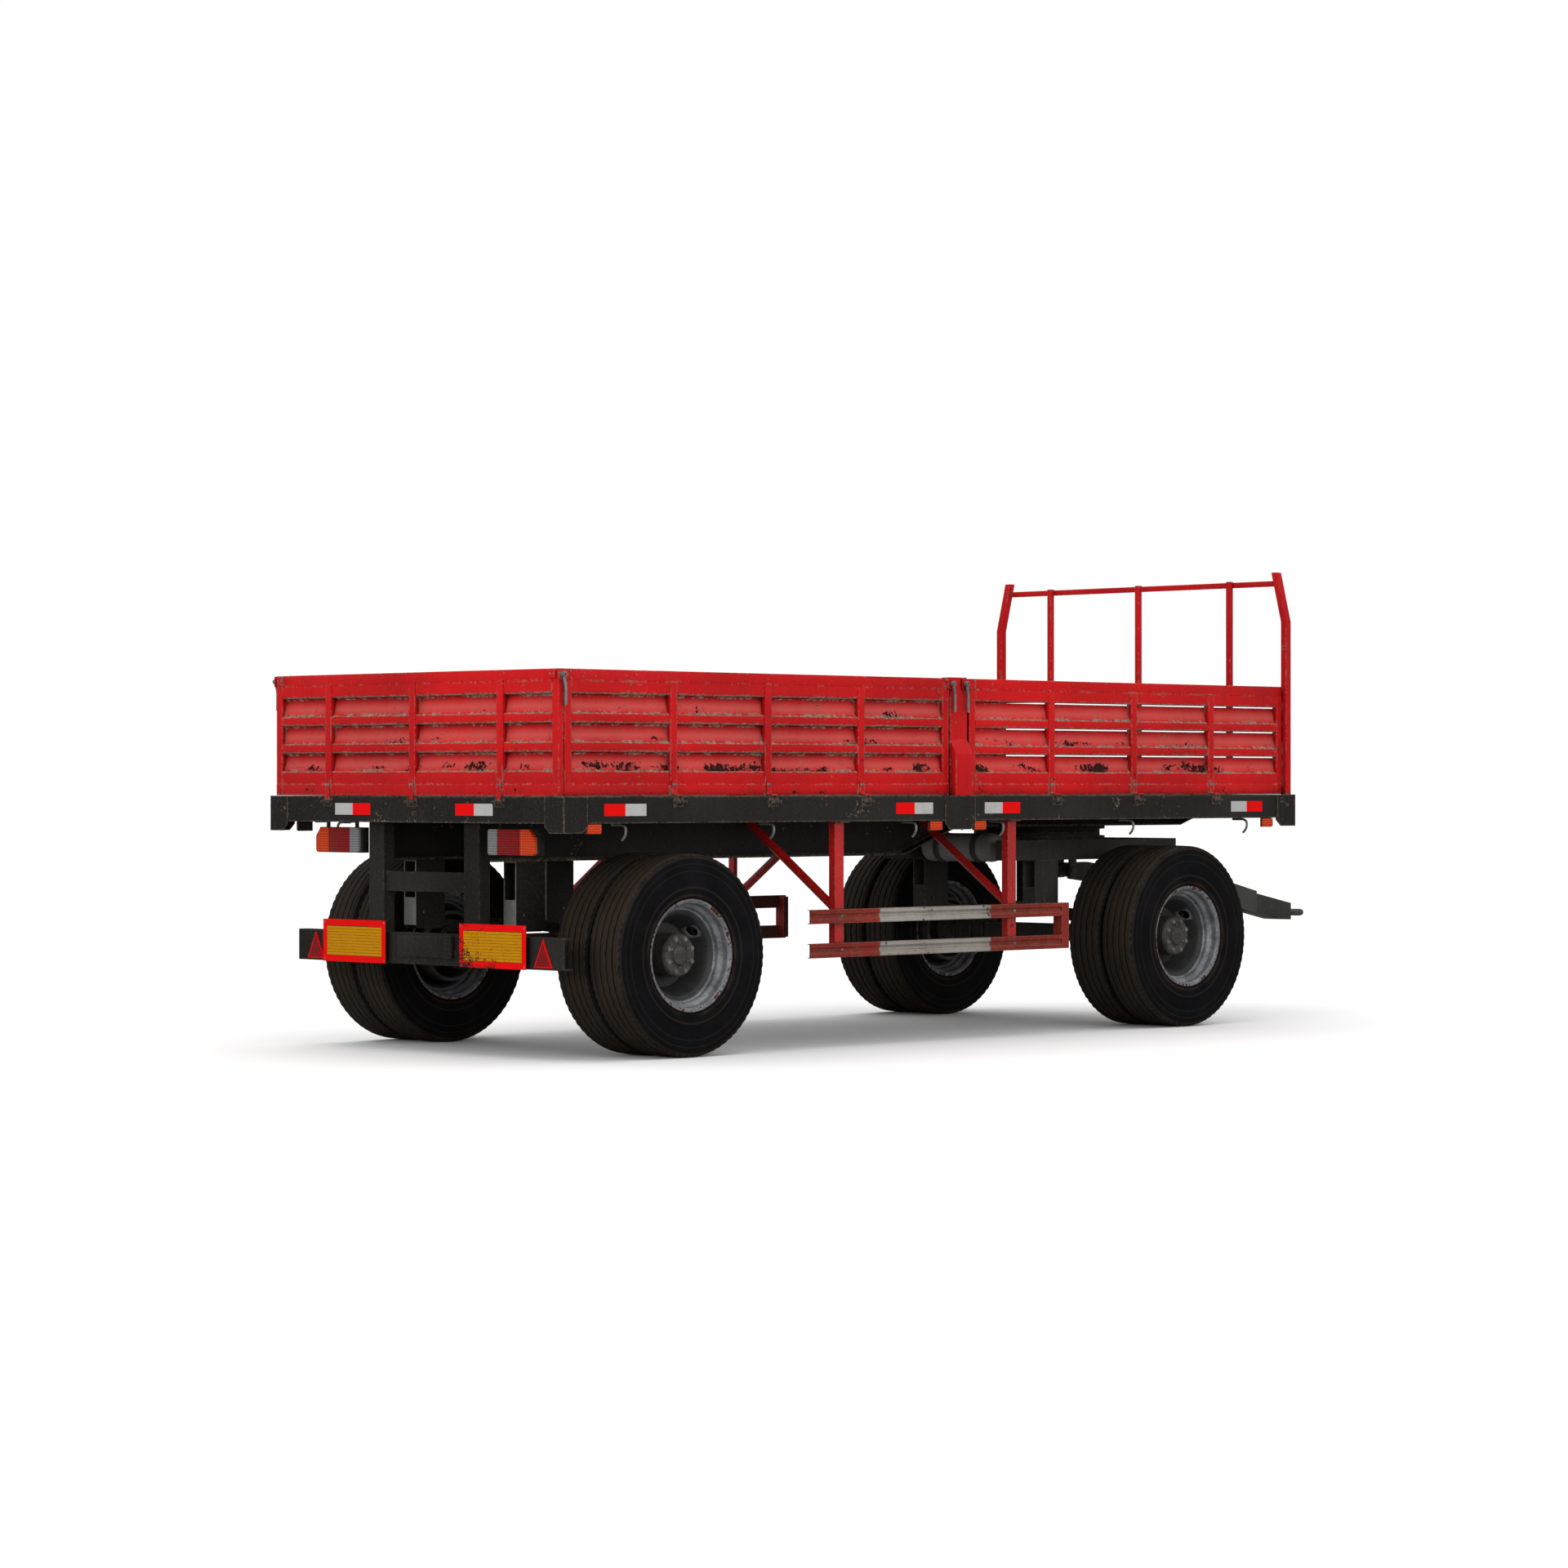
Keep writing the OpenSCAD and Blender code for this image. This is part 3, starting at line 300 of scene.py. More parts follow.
def film(name, body, dark, scale, scuff=0.5):
    """Reflective sheeting: fine cells under a clear layer, with scuffs."""
    f = Finish(name, specular_ior_level=0.06)
    cell = f.cells(scale, "DISTANCE_TO_EDGE")
    middle = f.noise(16, 5, 0.7)
    fine = f.noise(120, 5, 0.7)
    tint = f.mix(f.step(cell, 0.0, 0.12), darker(body, 0.72), body)
    tint = f.mix(f.step(f.add((middle, 0.8), (fine, 0.3)), 0.5, 0.8, 0.3), tint, dark)
    worn = f.add((middle, 0.6), (fine, 0.8), (f.attribute("wear"), 0.2))
    tint = f.mix(f.step(worn, 0.99 - 0.1 * scuff, 1.02 - 0.1 * scuff), tint, srgb(40, 33, 26))
    f.colour(tint)
    f.roughness(f.fade(fine, 0.3, 0.7, 0.32, 0.6))
    f.bump((cell, 0.0003), (fine, 0.0002))
    return f.material


def deck_wood():
    """Coated plywood: faded grain along the bed, worn and trodden with dirt."""
    f = Finish("deck_plywood", specular_ior_level=0.3)
    grain = f.noise(3.0, 6, 0.65, stretch=(1.5, 26, 26))
    middle = f.noise(4, 5, 0.65)
    fine = f.noise(130, 4, 0.6)
    mesh_print = f.cells(150, "DISTANCE_TO_EDGE")
    tint = f.mix(f.step(grain, 0.3, 0.7), srgb(58, 44, 33), srgb(92, 74, 57))
    tint = f.mix(f.step(f.add((middle, 0.8), (fine, 0.4)), 0.55, 0.85, 0.75), tint, srgb(112, 100, 86))
    tint = f.mix(f.step(f.attribute("wear"), 0.3, 1.0, 0.7), tint, srgb(38, 31, 25))
    f.colour(tint)
    f.roughness(f.fade(fine, 0.3, 0.7, 0.6, 0.9))
    f.bump((mesh_print, 0.0006), (grain, 0.0008), (fine, 0.0003))
    return f.material


RED = worn_paint(
    "red_paint", srgb(214, 16, 20), srgb(178, 13, 18), srgb(156, 138, 122), srgb(58, 26, 20),
    wear=0.5, rusting=0.5, haze_and_light=srgb(222, 120, 112),
)
GUARD_RED = worn_paint(
    "guard_red", srgb(150, 44, 36), srgb(104, 38, 30), srgb(138, 108, 84), srgb(66, 38, 27),
    wear=0.9, rusting=0.9, dust=0.25, gloss=0.5,
)
POST_RED = worn_paint(
    "guard_post_red", srgb(212, 22, 22), srgb(158, 26, 22), srgb(136, 106, 84), srgb(66, 34, 25),
    wear=0.6, rusting=0.8, gloss=0.22, shine=0.5,
)
# Painted shade: a darker copy of the guard paint for the faces that face in under the trailer.
GUARD_SHADED_SIDE = worn_paint(
    "guard_shaded_side", srgb(72, 34, 27), srgb(42, 24, 19), srgb(108, 84, 64), srgb(50, 32, 24),
    wear=0.9, rusting=0.9, gloss=0.6,
)
GUARD_WHITE = worn_paint(
    "guard_white", srgb(168, 163, 155), srgb(128, 120, 110), srgb(78, 66, 56), srgb(72, 48, 34),
    wear=1.15, rusting=0.8, gloss=0.55,
)
BLACK = worn_paint(
    "chassis_black", srgb(44, 42, 39), srgb(28, 27, 26), srgb(126, 110, 94), srgb(66, 46, 35),
    wear=1.0, rusting=0.35, dust=0.12, gloss=0.5,
)
UNDER = worn_paint(
    "underbody_black", srgb(44, 43, 41), srgb(25, 24, 23), srgb(88, 80, 70), srgb(56, 42, 33),
    wear=0.4, rusting=0.5, dust=0.25, gloss=0.6,
)
DOLLY = worn_paint(
    "dolly_grey", srgb(74, 72, 69), srgb(48, 47, 45), srgb(112, 102, 90), srgb(64, 48, 38),
    wear=0.6, rusting=0.5, dust=0.2, gloss=0.6,
)
GREY = worn_paint(
    "drawbar_grey", srgb(70, 70, 69), srgb(48, 48, 47), srgb(128, 122, 114), srgb(74, 58, 48),
    wear=0.45, rusting=0.4, dust=0.2, gloss=0.5,
)
TANK_GREY = worn_paint(
    "tank_grey", srgb(150, 150, 147), srgb(116, 115, 112), srgb(170, 160, 148), srgb(84, 66, 54),
    wear=0.4, rusting=0.4, dust=0.1, gloss=0.4,
)
ZINC = bare_metal("zinc", srgb(160, 162, 166), srgb(92, 94, 98), srgb(84, 42, 31), 0.5, 0.45)
STEEL = bare_metal(
    "worn_steel", srgb(150, 148, 145), srgb(92, 90, 87), srgb(86, 60, 46), 0.5, 0.5, 0.55
)
DARK_STEEL = bare_metal(
    "dark_steel", srgb(88, 85, 82), srgb(50, 49, 47), srgb(66, 48, 38), 0.55, 0.3, 0.5
)
RUBBER = rubber()
AMBER = lens("amber_lens", srgb(236, 74, 14), srgb(120, 26, 6))
SIDE_AMBER = lens("side_amber_lens", srgb(236, 74, 14), srgb(120, 26, 6), "XZ")
LAMP_RED = lens("red_lens", srgb(152, 8, 10), srgb(60, 4, 5))
CLEAR = lens("clear_lens", srgb(146, 146, 148), srgb(66, 66, 68))
FILM_RED = film("film_red", srgb(248, 6, 6), srgb(190, 10, 10), 220)
FILM_WHITE = film("film_white", srgb(196, 194, 192), srgb(118, 114, 108), 220)
FILM_OCHRE = film("film_ochre", srgb(208, 142, 0), srgb(146, 98, 4), 120, 0.75)
WOOD = deck_wood()


# ---- Shapes


def smooth_path(points, radius, steps=4):
    """Rounds the inner corners of a list of points, 2-D or 3-D."""
    out = [Vector(points[0])]
    for i in range(1, len(points) - 1):
        a, p, b = (Vector(points[j]) for j in (i - 1, i, i + 1))
        cut_a = min(radius, (a - p).length * 0.45)
        cut_b = min(radius, (b - p).length * 0.45)
        start, end = p + (a - p).normalized() * cut_a, p + (b - p).normalized() * cut_b
        for k in range(steps + 1):
            t = k / steps
            out.append(start * (1 - t) ** 2 + p * 2 * t * (1 - t) + end * t * t)
    out.append(Vector(points[-1]))
    return out


# The second layer holds rust-prone grime and, on the wheel discs, painted shade; the third holds painted
# shade at the top of the board recesses and the tread on tyres; the fourth holds a pale tone low in the
# board recesses that is partly painted light.
LAYERS = ("wear", "grime_and_shade", "shade_and_tread", "faded_and_lit")
SHARP_EDGE = math.radians(24)


def placed(name, data):
    made = bpy.data.objects.new(name, data)
    bpy.context.scene.collection.objects.link(made)
    return made


def round_edges(part, size, segments):
    sharp = [e for e in part.edges if len(e.link_faces) == 2 and e.calc_face_angle(0) > SHARP_EDGE]
    bmesh.ops.bevel(part, geom=sharp, offset=size, segments=segments, profile=0.5,
                    affect="EDGES", clamp_overlap=True)


class Shape:
    """Gathers closed solids into one mesh, each with rounded edges."""

    def __init__(self, place=trailer):
        self.place = place
        self.mesh = bmesh.new()
        for name in LAYERS:
            self.mesh.verts.layers.float.new(name)

    def take(self, part, bevel=0.0, segments=2, slot=0, marks=None):
        """Adds a bmesh in millimetres. marks gives the first values of LAYERS at a point."""
        bmesh.ops.recalc_face_normals(part, faces=part.faces)
        if bevel:
            round_edges(part, bevel, segments)
        layers = [self.mesh.verts.layers.float[n] for n in LAYERS]
        made = {}
        for v in part.verts:
            new = made[v.index] = self.mesh.verts.new(self.place(*v.co))
            if marks:
                for layer, value in zip(layers, marks(v.co)):
                    new[layer] = value
        for f in part.faces:
            face = self.mesh.faces.new([made[v.index] for v in f.verts])
            face.material_index = slot
        part.free()

    def box(self, x, y, z, bevel=2.0, **more):
        part = bmesh.new()
        bmesh.ops.create_cube(part, size=1)
        for v in part.verts:
            v.co = Vector((s[0] + (c + 0.5) * (s[1] - s[0])) for s, c in zip((x, y, z), v.co))
        part.verts.index_update()
        self.take(part, bevel, **more)
        return self

    def prism(self, axis, points, span, bevel=2.0, **more):
        """A closed outline in the other two axes, extruded along axis."""
        part = bmesh.new()
        rings = []
        for s in span:
            ring = []
            for a, b in points:
                co = [a, b]
                co.insert("xyz".index(axis), s)
                ring.append(part.verts.new(co))
            rings.append(ring)
        n = len(points)
        part.faces.new(rings[0])
        part.faces.new(rings[1])
        for i in range(n):
            j = (i + 1) % n
            part.faces.new((rings[0][i], rings[0][j], rings[1][j], rings[1][i]))
        part.verts.index_update()
        self.take(part, bevel, **more)
        return self

    def lathe(self, outline, centre, axis="y", steps=48, shape=None, **more):
        """Turns a closed outline of (radius, along) points about an axis through centre.
        shape may change the radius and place of a point at an angle."""
        part = bmesh.new()
        rings = []
        u, v, w = {"x": (1, 2, 0), "y": (0, 2, 1), "z": (0, 1, 2)}[axis]
        for radius, along in outline:
            if radius < 1e-6:
                co = list(centre)
                co[w] += along
                rings.append([part.verts.new(co)])
                continue
            ring = []
            for k in range(steps):
                r, a = (radius, along) if shape is None else shape(radius, along, k)
                angle = 2 * math.pi * k / steps
                co = list(centre)
                co[u] += r * math.cos(angle)
                co[v] += r * math.sin(angle)
                co[w] += a
                ring.append(part.verts.new(co))
            rings.append(ring)
        for a, b in zip(rings, rings[1:] + rings[:1]):
            if len(a) == 1 and len(b) == 1:
                continue
            for k in range(steps):
                m = (k + 1) % steps
                if len(a) == 1:
                    part.faces.new((a[0], b[m], b[k]))
                elif len(b) == 1:
                    part.faces.new((a[k], a[m], b[0]))
                else:
                    part.faces.new((a[k], a[m], b[m], b[k]))
        part.verts.index_update()
        self.take(part, **more)
        return self

    def pin(self, centre, axis, span, radius, chamfer=1.0, steps=24, **more):
        """A round bar with small chamfers at both ends."""
        c = min(chamfer, radius * 0.3)
        outline = [(0, span[0]), (radius - c, span[0]), (radius, span[0] + c),
                   (radius, span[1] - c), (radius - c, span[1]), (0, span[1])]
        return self.lathe(outline, centre, axis, steps, **more)

    def dome(self, centre, axis, height, radius, sign=1, steps=16, **more):
        """A rivet's head."""
        outline = [(0, 0), (radius, 0)]
        outline += [(radius * math.cos(t), sign * height * math.sin(t)) for t in (0.3, 0.65, 1.0, 1.3)]
        outline.append((0, sign * height))
        return self.lathe(outline, centre, axis, steps, **more)

    def hexagon(self, centre, axis, span, across, **more):
        """A nut or bolt head with a chamfered outer face."""
        r = across / math.sqrt(3)
        chamfer = (span[1] - span[0]) * 0.18
        outline = [(0, span[0]), (r, span[0]), (r, span[1] - chamfer), (r * 0.86, span[1]), (0, span[1])]
        return self.lathe(outline, centre, axis, 6, **more)

    def tube(self, points, radius, sides=14, **more):
        """A round bar along a path."""
        part = bmesh.new()
        points = [Vector(p) for p in points]
        rings = []
        side = None
        for i, p in enumerate(points):
            ahead = (points[min(i + 1, len(points) - 1)] - points[max(i - 1, 0)]).normalized()
            if side is None:
                side = ahead.orthogonal().normalized()
            side = (side - ahead * side.dot(ahead)).normalized()
            up = ahead.cross(side)
            turns = [2 * math.pi * k / sides for k in range(sides)]
            ring = [p + (side * math.cos(t) + up * math.sin(t)) * radius for t in turns]
            rings.append([part.verts.new(co) for co in ring])
        for a, b in zip(rings, rings[1:]):
            for k in range(sides):
                part.faces.new((a[k], a[(k + 1) % sides], b[(k + 1) % sides], b[k]))
        part.faces.new(rings[0])
        part.faces.new(rings[-1])
        part.verts.index_update()
        self.take(part, **more)
        return self

    def weld(self, a, b, radius=3.0, pitch=5.0, **more):
        """A weld bead: a thin bar with ripples, laid along an inner corner."""
        a, b = Vector(a), Vector(b)
        sides, valley = 7, 0.82
        count = max(4, int((b - a).length / pitch) * 2)
        points = [a.lerp(b, i / count) for i in range(count + 1)]
        start = len(self.mesh.verts)
        self.tube(points, radius, sides, **more)
        self.mesh.verts.ensure_lookup_table()
        for i in range(0, count + 1, 2):
            centre = self.place(*points[i])
            for k in range(sides):
                v = self.mesh.verts[start + i * sides + k]
                v.co = centre + (v.co - centre) * valley
        return self

    def copy_node(self, node, bevel=1.5, segments=2, slot=0):
        """Adds a CAD node's own solids with rounded edges."""
        part = bmesh.new()
        part.from_mesh(nodes[node].data)
        bmesh.ops.remove_doubles(part, verts=part.verts, dist=1e-6)
        flat = math.radians(0.6)
        bmesh.ops.dissolve_limit(part, angle_limit=flat, verts=part.verts, edges=part.edges)
        for v in part.verts:
            v.co *= 1000
        part.verts.index_update()
        keep, self.place = self.place, lambda x, y, z: Vector((x, y, z)) / 1000
        if bevel:
            round_edges(part, bevel, segments)
            part.verts.index_update()
        self.take(part, slot=slot)
        self.place = keep
        return self

    def finish(self, name, body, materials, replaces=(), slot=None, sharp=21):
        """Makes the piece and lets it ride on its body."""
        bmesh.ops.recalc_face_normals(self.mesh, faces=self.mesh.faces)
        for f in self.mesh.faces:
            f.smooth = True
        data = bpy.data.meshes.new(name)
        self.mesh.to_mesh(data)
        self.mesh.free()
        data.set_sharp_from_angle(angle=math.radians(sharp))
        piece = placed(name, data)
        for m in materials:
            data.materials.append(m)
        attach(piece, body)
        if replaces:
            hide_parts(*replaces)
        return piece


# ---- Camera, floor and light

CAMERA_SPOT, CAMERA_TURN = (-14577, -17369, 1441), -45
FOCAL_LENGTH, SENSOR_WIDTH = 97.62, 36
camera = placed("camera", bpy.data.cameras.new("camera"))
camera.location = trailer(*CAMERA_SPOT)
camera.rotation_euler = (math.radians(90), 0, math.radians(CAMERA_TURN))
camera.data.lens = FOCAL_LENGTH
camera.data.sensor_width = SENSOR_WIDTH
camera.data.clip_end = 200
bpy.context.scene.camera = camera


def area_light(name, spot, target, size, power):
    light = placed(name, bpy.data.lights.new(name, "AREA"))
    light.data.shape = "RECTANGLE"
    light.data.size, light.data.size_y = size
    light.data.energy = power
    light.location = spot
    light.rotation_euler = (Vector(target) - Vector(spot)).to_track_quat("-Z", "Y").to_euler()


area_light("side", (-3, -13, 3.4), (0, 0, 1.4), (12, 4), 420)
area_light("rear", (-15, -3, 3.2), (0, 0, 1.4), (6, 4), 380)
sun = placed("soft_sun", bpy.data.lights.new("soft_sun", "SUN"))
sun.data.energy = 1.4
sun.data.angle = math.radians(95)
sun.rotation_euler = Vector((-0.2, -0.24, -1)).to_track_quat("-Z", "Y").to_euler()

# The backdrop is brighter to the camera than as a light
world = bpy.data.worlds.new("studio")
bpy.context.scene.world = world
world.use_nodes = True
sky = world.node_tree
sky.nodes["Background"].inputs[0].default_value = (1, 1, 1, 1)
rays = sky.nodes.new("ShaderNodeLightPath")
dim = sky.nodes.new("ShaderNodeMath")
dim.operation = "MULTIPLY_ADD"
dim.inputs[1].default_value, dim.inputs[2].default_value = -0.4, 0.75
sky.links.new(rays.outputs["Is Glossy Ray"], dim.inputs[0])
bright = sky.nodes.new("ShaderNodeMath")
bright.operation = "MAXIMUM"
sky.links.new(rays.outputs["Is Camera Ray"], bright.inputs[0])
sky.links.new(dim.outputs[0], bright.inputs[1])
sky.links.new(bright.outputs[0], sky.nodes["Background"].inputs[1])
bpy.context.scene.view_settings.view_transform = "Standard"

FLOOR = 60
floor_mesh = bpy.data.meshes.new("floor")
corners = [(-FLOOR, -FLOOR, 0), (FLOOR, -FLOOR, 0), (FLOOR, FLOOR, 0), (-FLOOR, FLOOR, 0)]
floor_mesh.from_pydata(corners, [], [(0, 1, 2, 3)])
floor = placed("floor", floor_mesh)
floor_finish = Finish("floor_white", roughness=0.9, specular_ior_level=0.05)
pale, paler = (0.93, 0.93, 0.93, 1), (0.96, 0.96, 0.96, 1)
floor_tint = floor_finish.mix(floor_finish.noise(0.35, 3), pale, paler)
seen = floor_finish.node("LightPath", {}).outputs["Is Camera Ray"]
floor_finish.colour(floor_finish.mix(seen, (0.3, 0.3, 0.3, 1), floor_tint))
floor_mesh.materials.append(floor_finish.material)

# ---- Boards

REAR_SPAN, FRONT_SPAN, GATE_SPAN = (39, 2940), (3110, 5932), (-BOARD_Y, BOARD_Y)
REAR_POSTS, FRONT_POSTS, GATE_POSTS = (810, 1510, 2230), (3810, 4540, 5250), (-705, 0, 705)
BOTTOM, TOP, THICK = 1379, 2034, 36
RAIL_TOP, RAIL_BOTTOM, STILE, POST = 59, 62, 52, 25
RECESSES = [1516 + 150 * i for i in range(3)]
RECESS, SLIT = 86, 7
HINGE_Z = 1345
PIN_Z = 2004


def sheet_marks(seed):
    """Wear on the ribs, rust low in the recesses in patches that seed shifts, painted shade under each
    rib at the top of a recess, and a pale tone low in each recess that is partly painted light.
    """
    def marks(co):
        rib = grime_and_shade = shade_and_tread = faded_and_lit = 0.0
        for z in RECESSES:
            if abs(co.z - (z - 9)) < 3.5 or abs(co.z - (z + RECESS + 9)) < 3.5:
                rib = 1.0
            if z - 8 < co.z < z + 70:
                grime_and_shade = max(grime_and_shade, 1 - abs(co.z - z - 14) / 58)
            # Painted shade under each rib, darkest at the top of the recess.
            if z < co.z < z + RECESS + 6:
                shade_and_tread = max(shade_and_tread, 1 - (z + RECESS - co.z) / 34)
                # Partly painted light: a pale tone, strongest low in the recess where its face turns up.
                faded_and_lit = 1 - abs(co.z - z - 30) / 60
        low = max(0.0, 1 - (co.z - 1440) / 260)
        patch = max(0.0, 0.4 + 1.4 * noise.noise(Vector((co.x / 210 + seed, co.z / 90, seed))))
        return (rib, min(1.15, grime_and_shade * (0.35 + 0.9 * low) * 1.8 * patch), 0.55 * shade_and_tread, faded_and_lit)

    return marks


def recess_curve(z):
    """Outer face of one recess from its lower to its upper edge, as (depth, height)."""
    return [(3, z - 9), (9, z - 6), (15, z + 1), (21, z + 14), (25.5, z + 32), (28, z + 55),
            (29, z + 76), (29, z + RECESS - 2)]


def sheet_strips(slits):
    """Face outlines of the sheet between the two rails, split where a slit lets light through."""
    strips, strip = [], [(2, BOTTOM + RAIL_BOTTOM - 1), (0.5, BOTTOM + RAIL_BOTTOM + 34)]
    for z in RECESSES:
        strip += recess_curve(z)
        edge = z + RECESS
        if slits:
            strips.append(strip)
            strip = [(21, edge + SLIT - 1), (10, edge + SLIT + 1)]
        else:
            strip.append((14, edge + 5))
        strip += [(3, edge + 9), (0.6, edge + 18), (0.4, edge + 40)]
    strips.append(strip[:-1] + [(1.5, TOP - RAIL_TOP + 1)])
    return strips


def board_sheet(body, place, span, posts, slits, seed):
    """The pressed sheets between a board's uprights."""
    shape = Shape(place)
    edges = [span[0] + STILE]
    for p in posts:
        edges += [p - POST, p + POST]
    edges.append(span[1] - STILE)
    for a, b in zip(edges[::2], edges[1::2]):
        for strip in sheet_strips(slits):
            path = smooth_path([Vector((y, z)) for y, z in strip], 5, 3)
            add_wavy_sheet(shape, (a, b), path, 3.2, seed)
    shape.finish(body + "_pressed_sheet", body, [RED], [body + "_sheet"], "red_paint", sharp=50)


def add_wavy_sheet(shape, span, path, thick, seed):
    """A pressed sheet along the board, with slight dents."""
    part = bmesh.new()
    pitch, dent_depth = 45, 3.0
    count = max(6, int((span[1] - span[0]) / pitch))
    normals = []
    for i in range(len(path)):
        d = path[min(i + 1, len(path) - 1)] - path[max(i - 1, 0)]
        normals.append(Vector((d.y, -d.x)).normalized())
    front, back = [], []
    for k in range(count + 1):
        x = span[0] + (span[1] - span[0]) * k / count
        inside = max(0.0, math.sin(math.pi * k / count)) ** 0.5
        row_f, row_b = [], []
        for p, n in zip(path, normals):
            dent = noise.noise(Vector((x / 190 + seed * 7, p.y / 120, seed)))
            depth = p.x + inside * max(0.0, dent) * dent_depth
            row_f.append(part.verts.new((x, depth, p.y)))
            row_b.append(part.verts.new((x, depth + abs(n.x) * thick, p.y - n.y * thick * 0.4)))
        front.append(row_f)
        back.append(row_b)
    m = len(path)
    for f0, f1, b0, b1 in zip(front, front[1:], back, back[1:]):
        for i in range(m - 1):
            part.faces.new((f0[i], f1[i], f1[i + 1], f0[i + 1]))
            part.faces.new((b0[i], b0[i + 1], b1[i + 1], b1[i]))
        for i in (0, m - 1):
            part.faces.new((f0[i], f1[i], b1[i], b0[i]))
    for k in (0, count):
        for i in range(m - 1):
            part.faces.new((front[k][i], front[k][i + 1], back[k][i + 1], back[k][i]))
    part.verts.index_update()
    shape.take(part, marks=sheet_marks(seed))


def frame_marks(co):
    low = max(0.0, 1 - (co.z - BOTTOM) / 90)
    return (0.25 * low, 0.5 * low, 0.0)


def hinge_strap(shape, x, reach):
    """A flat strap that steps over the rail to its knuckle, which is reach outside the board,
    with two rivets."""
    back, face, lip = -4.1, -10.1, BOTTOM + 3
    top = 1462
    outer = [(face, top), (face, lip + 6), (3 - reach, lip + 6), (3 - reach, HINGE_Z)]
    inner = [(9 - reach, HINGE_Z), (9 - reach, lip), (back, lip), (back, top)]
    points = [tuple(p) for p in smooth_path(outer, 7, 3) + smooth_path(inner, 4, 3)]
    if reach < 30:
        points = [(face, top), (face, HINGE_Z), (back, HINGE_Z), (back, top)]
    shape.prism("x", points, (x - 16, x + 16), 1.2)
    knuckle = [(6.06, -16), (10, -16), (11, -15), (11, 15), (10, 16), (6.06, 16)]
    shape.lathe(knuckle, (x, -reach, HINGE_Z), "x", 28, slot=2)
    for dx in (-9, 9):
        shape.dome((x + dx, face, 1438), "y", 4.2, 7, -1, slot=1)


def latch_bracket(shape, x, start):
    """A bent plate with the pin that carries a lever."""
    end = x + (-20 if x < start else 20)
    a, b = min(end, start), max(end, start)
    shape.box((a, b), (-12, -4), (TOP - RAIL_TOP, TOP - 2), 2.2)
    shape.box((start - 20, start + 20), (-4, -0.1), (TOP - RAIL_TOP, TOP - 2), 1)
    shape.pin((x, 0, PIN_Z), "y", (-39, -12), 6, slot=1)
    shape.pin((x, 0, PIN_Z), "y", (-39, -35.4), 11, slot=1)
    for dz in (-18, 18):
        shape.dome((start + (12 if x < start else -12), -12, PIN_Z + dz), "y", 3, 5, -1, slot=1)


def board_frame(body, place, span, posts, reach, brackets=(), gusset=None):
    """The welded frame of a board, with its hinge straps and the brackets of its levers."""
    shape = Shape(place)
    marked = {"marks": frame_marks}
    shape.box(span, (0, THICK), (TOP - RAIL_TOP, TOP), 3.2, segments=3, **marked)
    shape.box(span, (0, THICK), (BOTTOM, BOTTOM + RAIL_BOTTOM), 3.2, segments=3, **marked)
    for a in (span[0], span[1] - STILE):
        shape.box((a + 0.6, a + STILE - 0.6), (0.6, THICK - 0.6), (BOTTOM + 8, TOP - 8), 3, **marked)
    for p in posts:
        shape.box((p - POST, p + POST), (-4, THICK - 1), (BOTTOM + 1, TOP - RAIL_TOP + 1), 3.5,
                  segments=3, **marked)
        for s in (-1, 1):
            shape.weld((p + s * (POST - 4), -0.6, BOTTOM + RAIL_BOTTOM - 55),
                       (p + s * (POST - 4), -0.6, BOTTOM + RAIL_BOTTOM), 2.2)
        shape.weld((p - POST + 4, -1, TOP - RAIL_TOP + 1), (p + POST - 4, -1, TOP - RAIL_TOP + 1), 2.6)
        hinge_strap(shape, p, reach)
    for x, start in brackets:
        latch_bracket(shape, x, start)
    if gusset:
        x, s = gusset
        corners = ((0, 0), (110, 0), (52, 62), (0, 62))
        shape.prism("y", [(x + s * a, TOP - RAIL_TOP - b) for a, b in corners], (-3, -0.1), 0.8)
    if body == "tailgate":
        for s in (-1, 1):
            x = s * (BOARD_Y - 40)
            shape.box((x - 25, x + 25), (-12, -0.1), (TOP - 50, TOP - 4), 3)
            for dx in (-14, 14):
                shape.dome((x + dx, -12, TOP - 27), "y", 3, 5, -1, slot=1)
    piece = shape.finish(body + "_welded_frame", body, [RED, ZINC, DARK_STEEL, BLACK],
                         [body + "_frame"], "red_paint")
    for face in piece.data.polygons:
        if face.center.z < (BOTTOM - 1) / 1000:
            face.material_index = 3


SIDE_REACH, GATE_REACH = 57, 17
CORNER_LEVER_X, REAR_LEVER_X, FRONT_LEVER_X = 14, 2952, 3060
REAR_LATCHES, FRONT_LATCHES = [(CORNER_LEVER_X, 61), (REAR_LEVER_X, 2918)], [(FRONT_LEVER_X, 3132)]
SIDES = (("right", right_board), ("left", left_board))
for side, place in SIDES:
    seed = 1.3 if side == "right" else 4.1
    body = f"rear_{side}_board"
    board_frame(body, place, REAR_SPAN, REAR_POSTS, SIDE_REACH, REAR_LATCHES, (REAR_SPAN[1], -1))
    board_sheet(body, place, REAR_SPAN, REAR_POSTS, False, seed)
    body = f"front_{side}_board"
    board_frame(body, place, FRONT_SPAN, FRONT_POSTS, SIDE_REACH, FRONT_LATCHES, (FRONT_SPAN[0], 1))
    board_sheet(body, place, FRONT_SPAN, FRONT_POSTS, True, seed + 1)
board_frame("tailgate", rear_board, GATE_SPAN, GATE_POSTS, GATE_REACH)
board_sheet("tailgate", rear_board, GATE_SPAN, GATE_POSTS, False, 7.7)

# ---- Levers and hooks

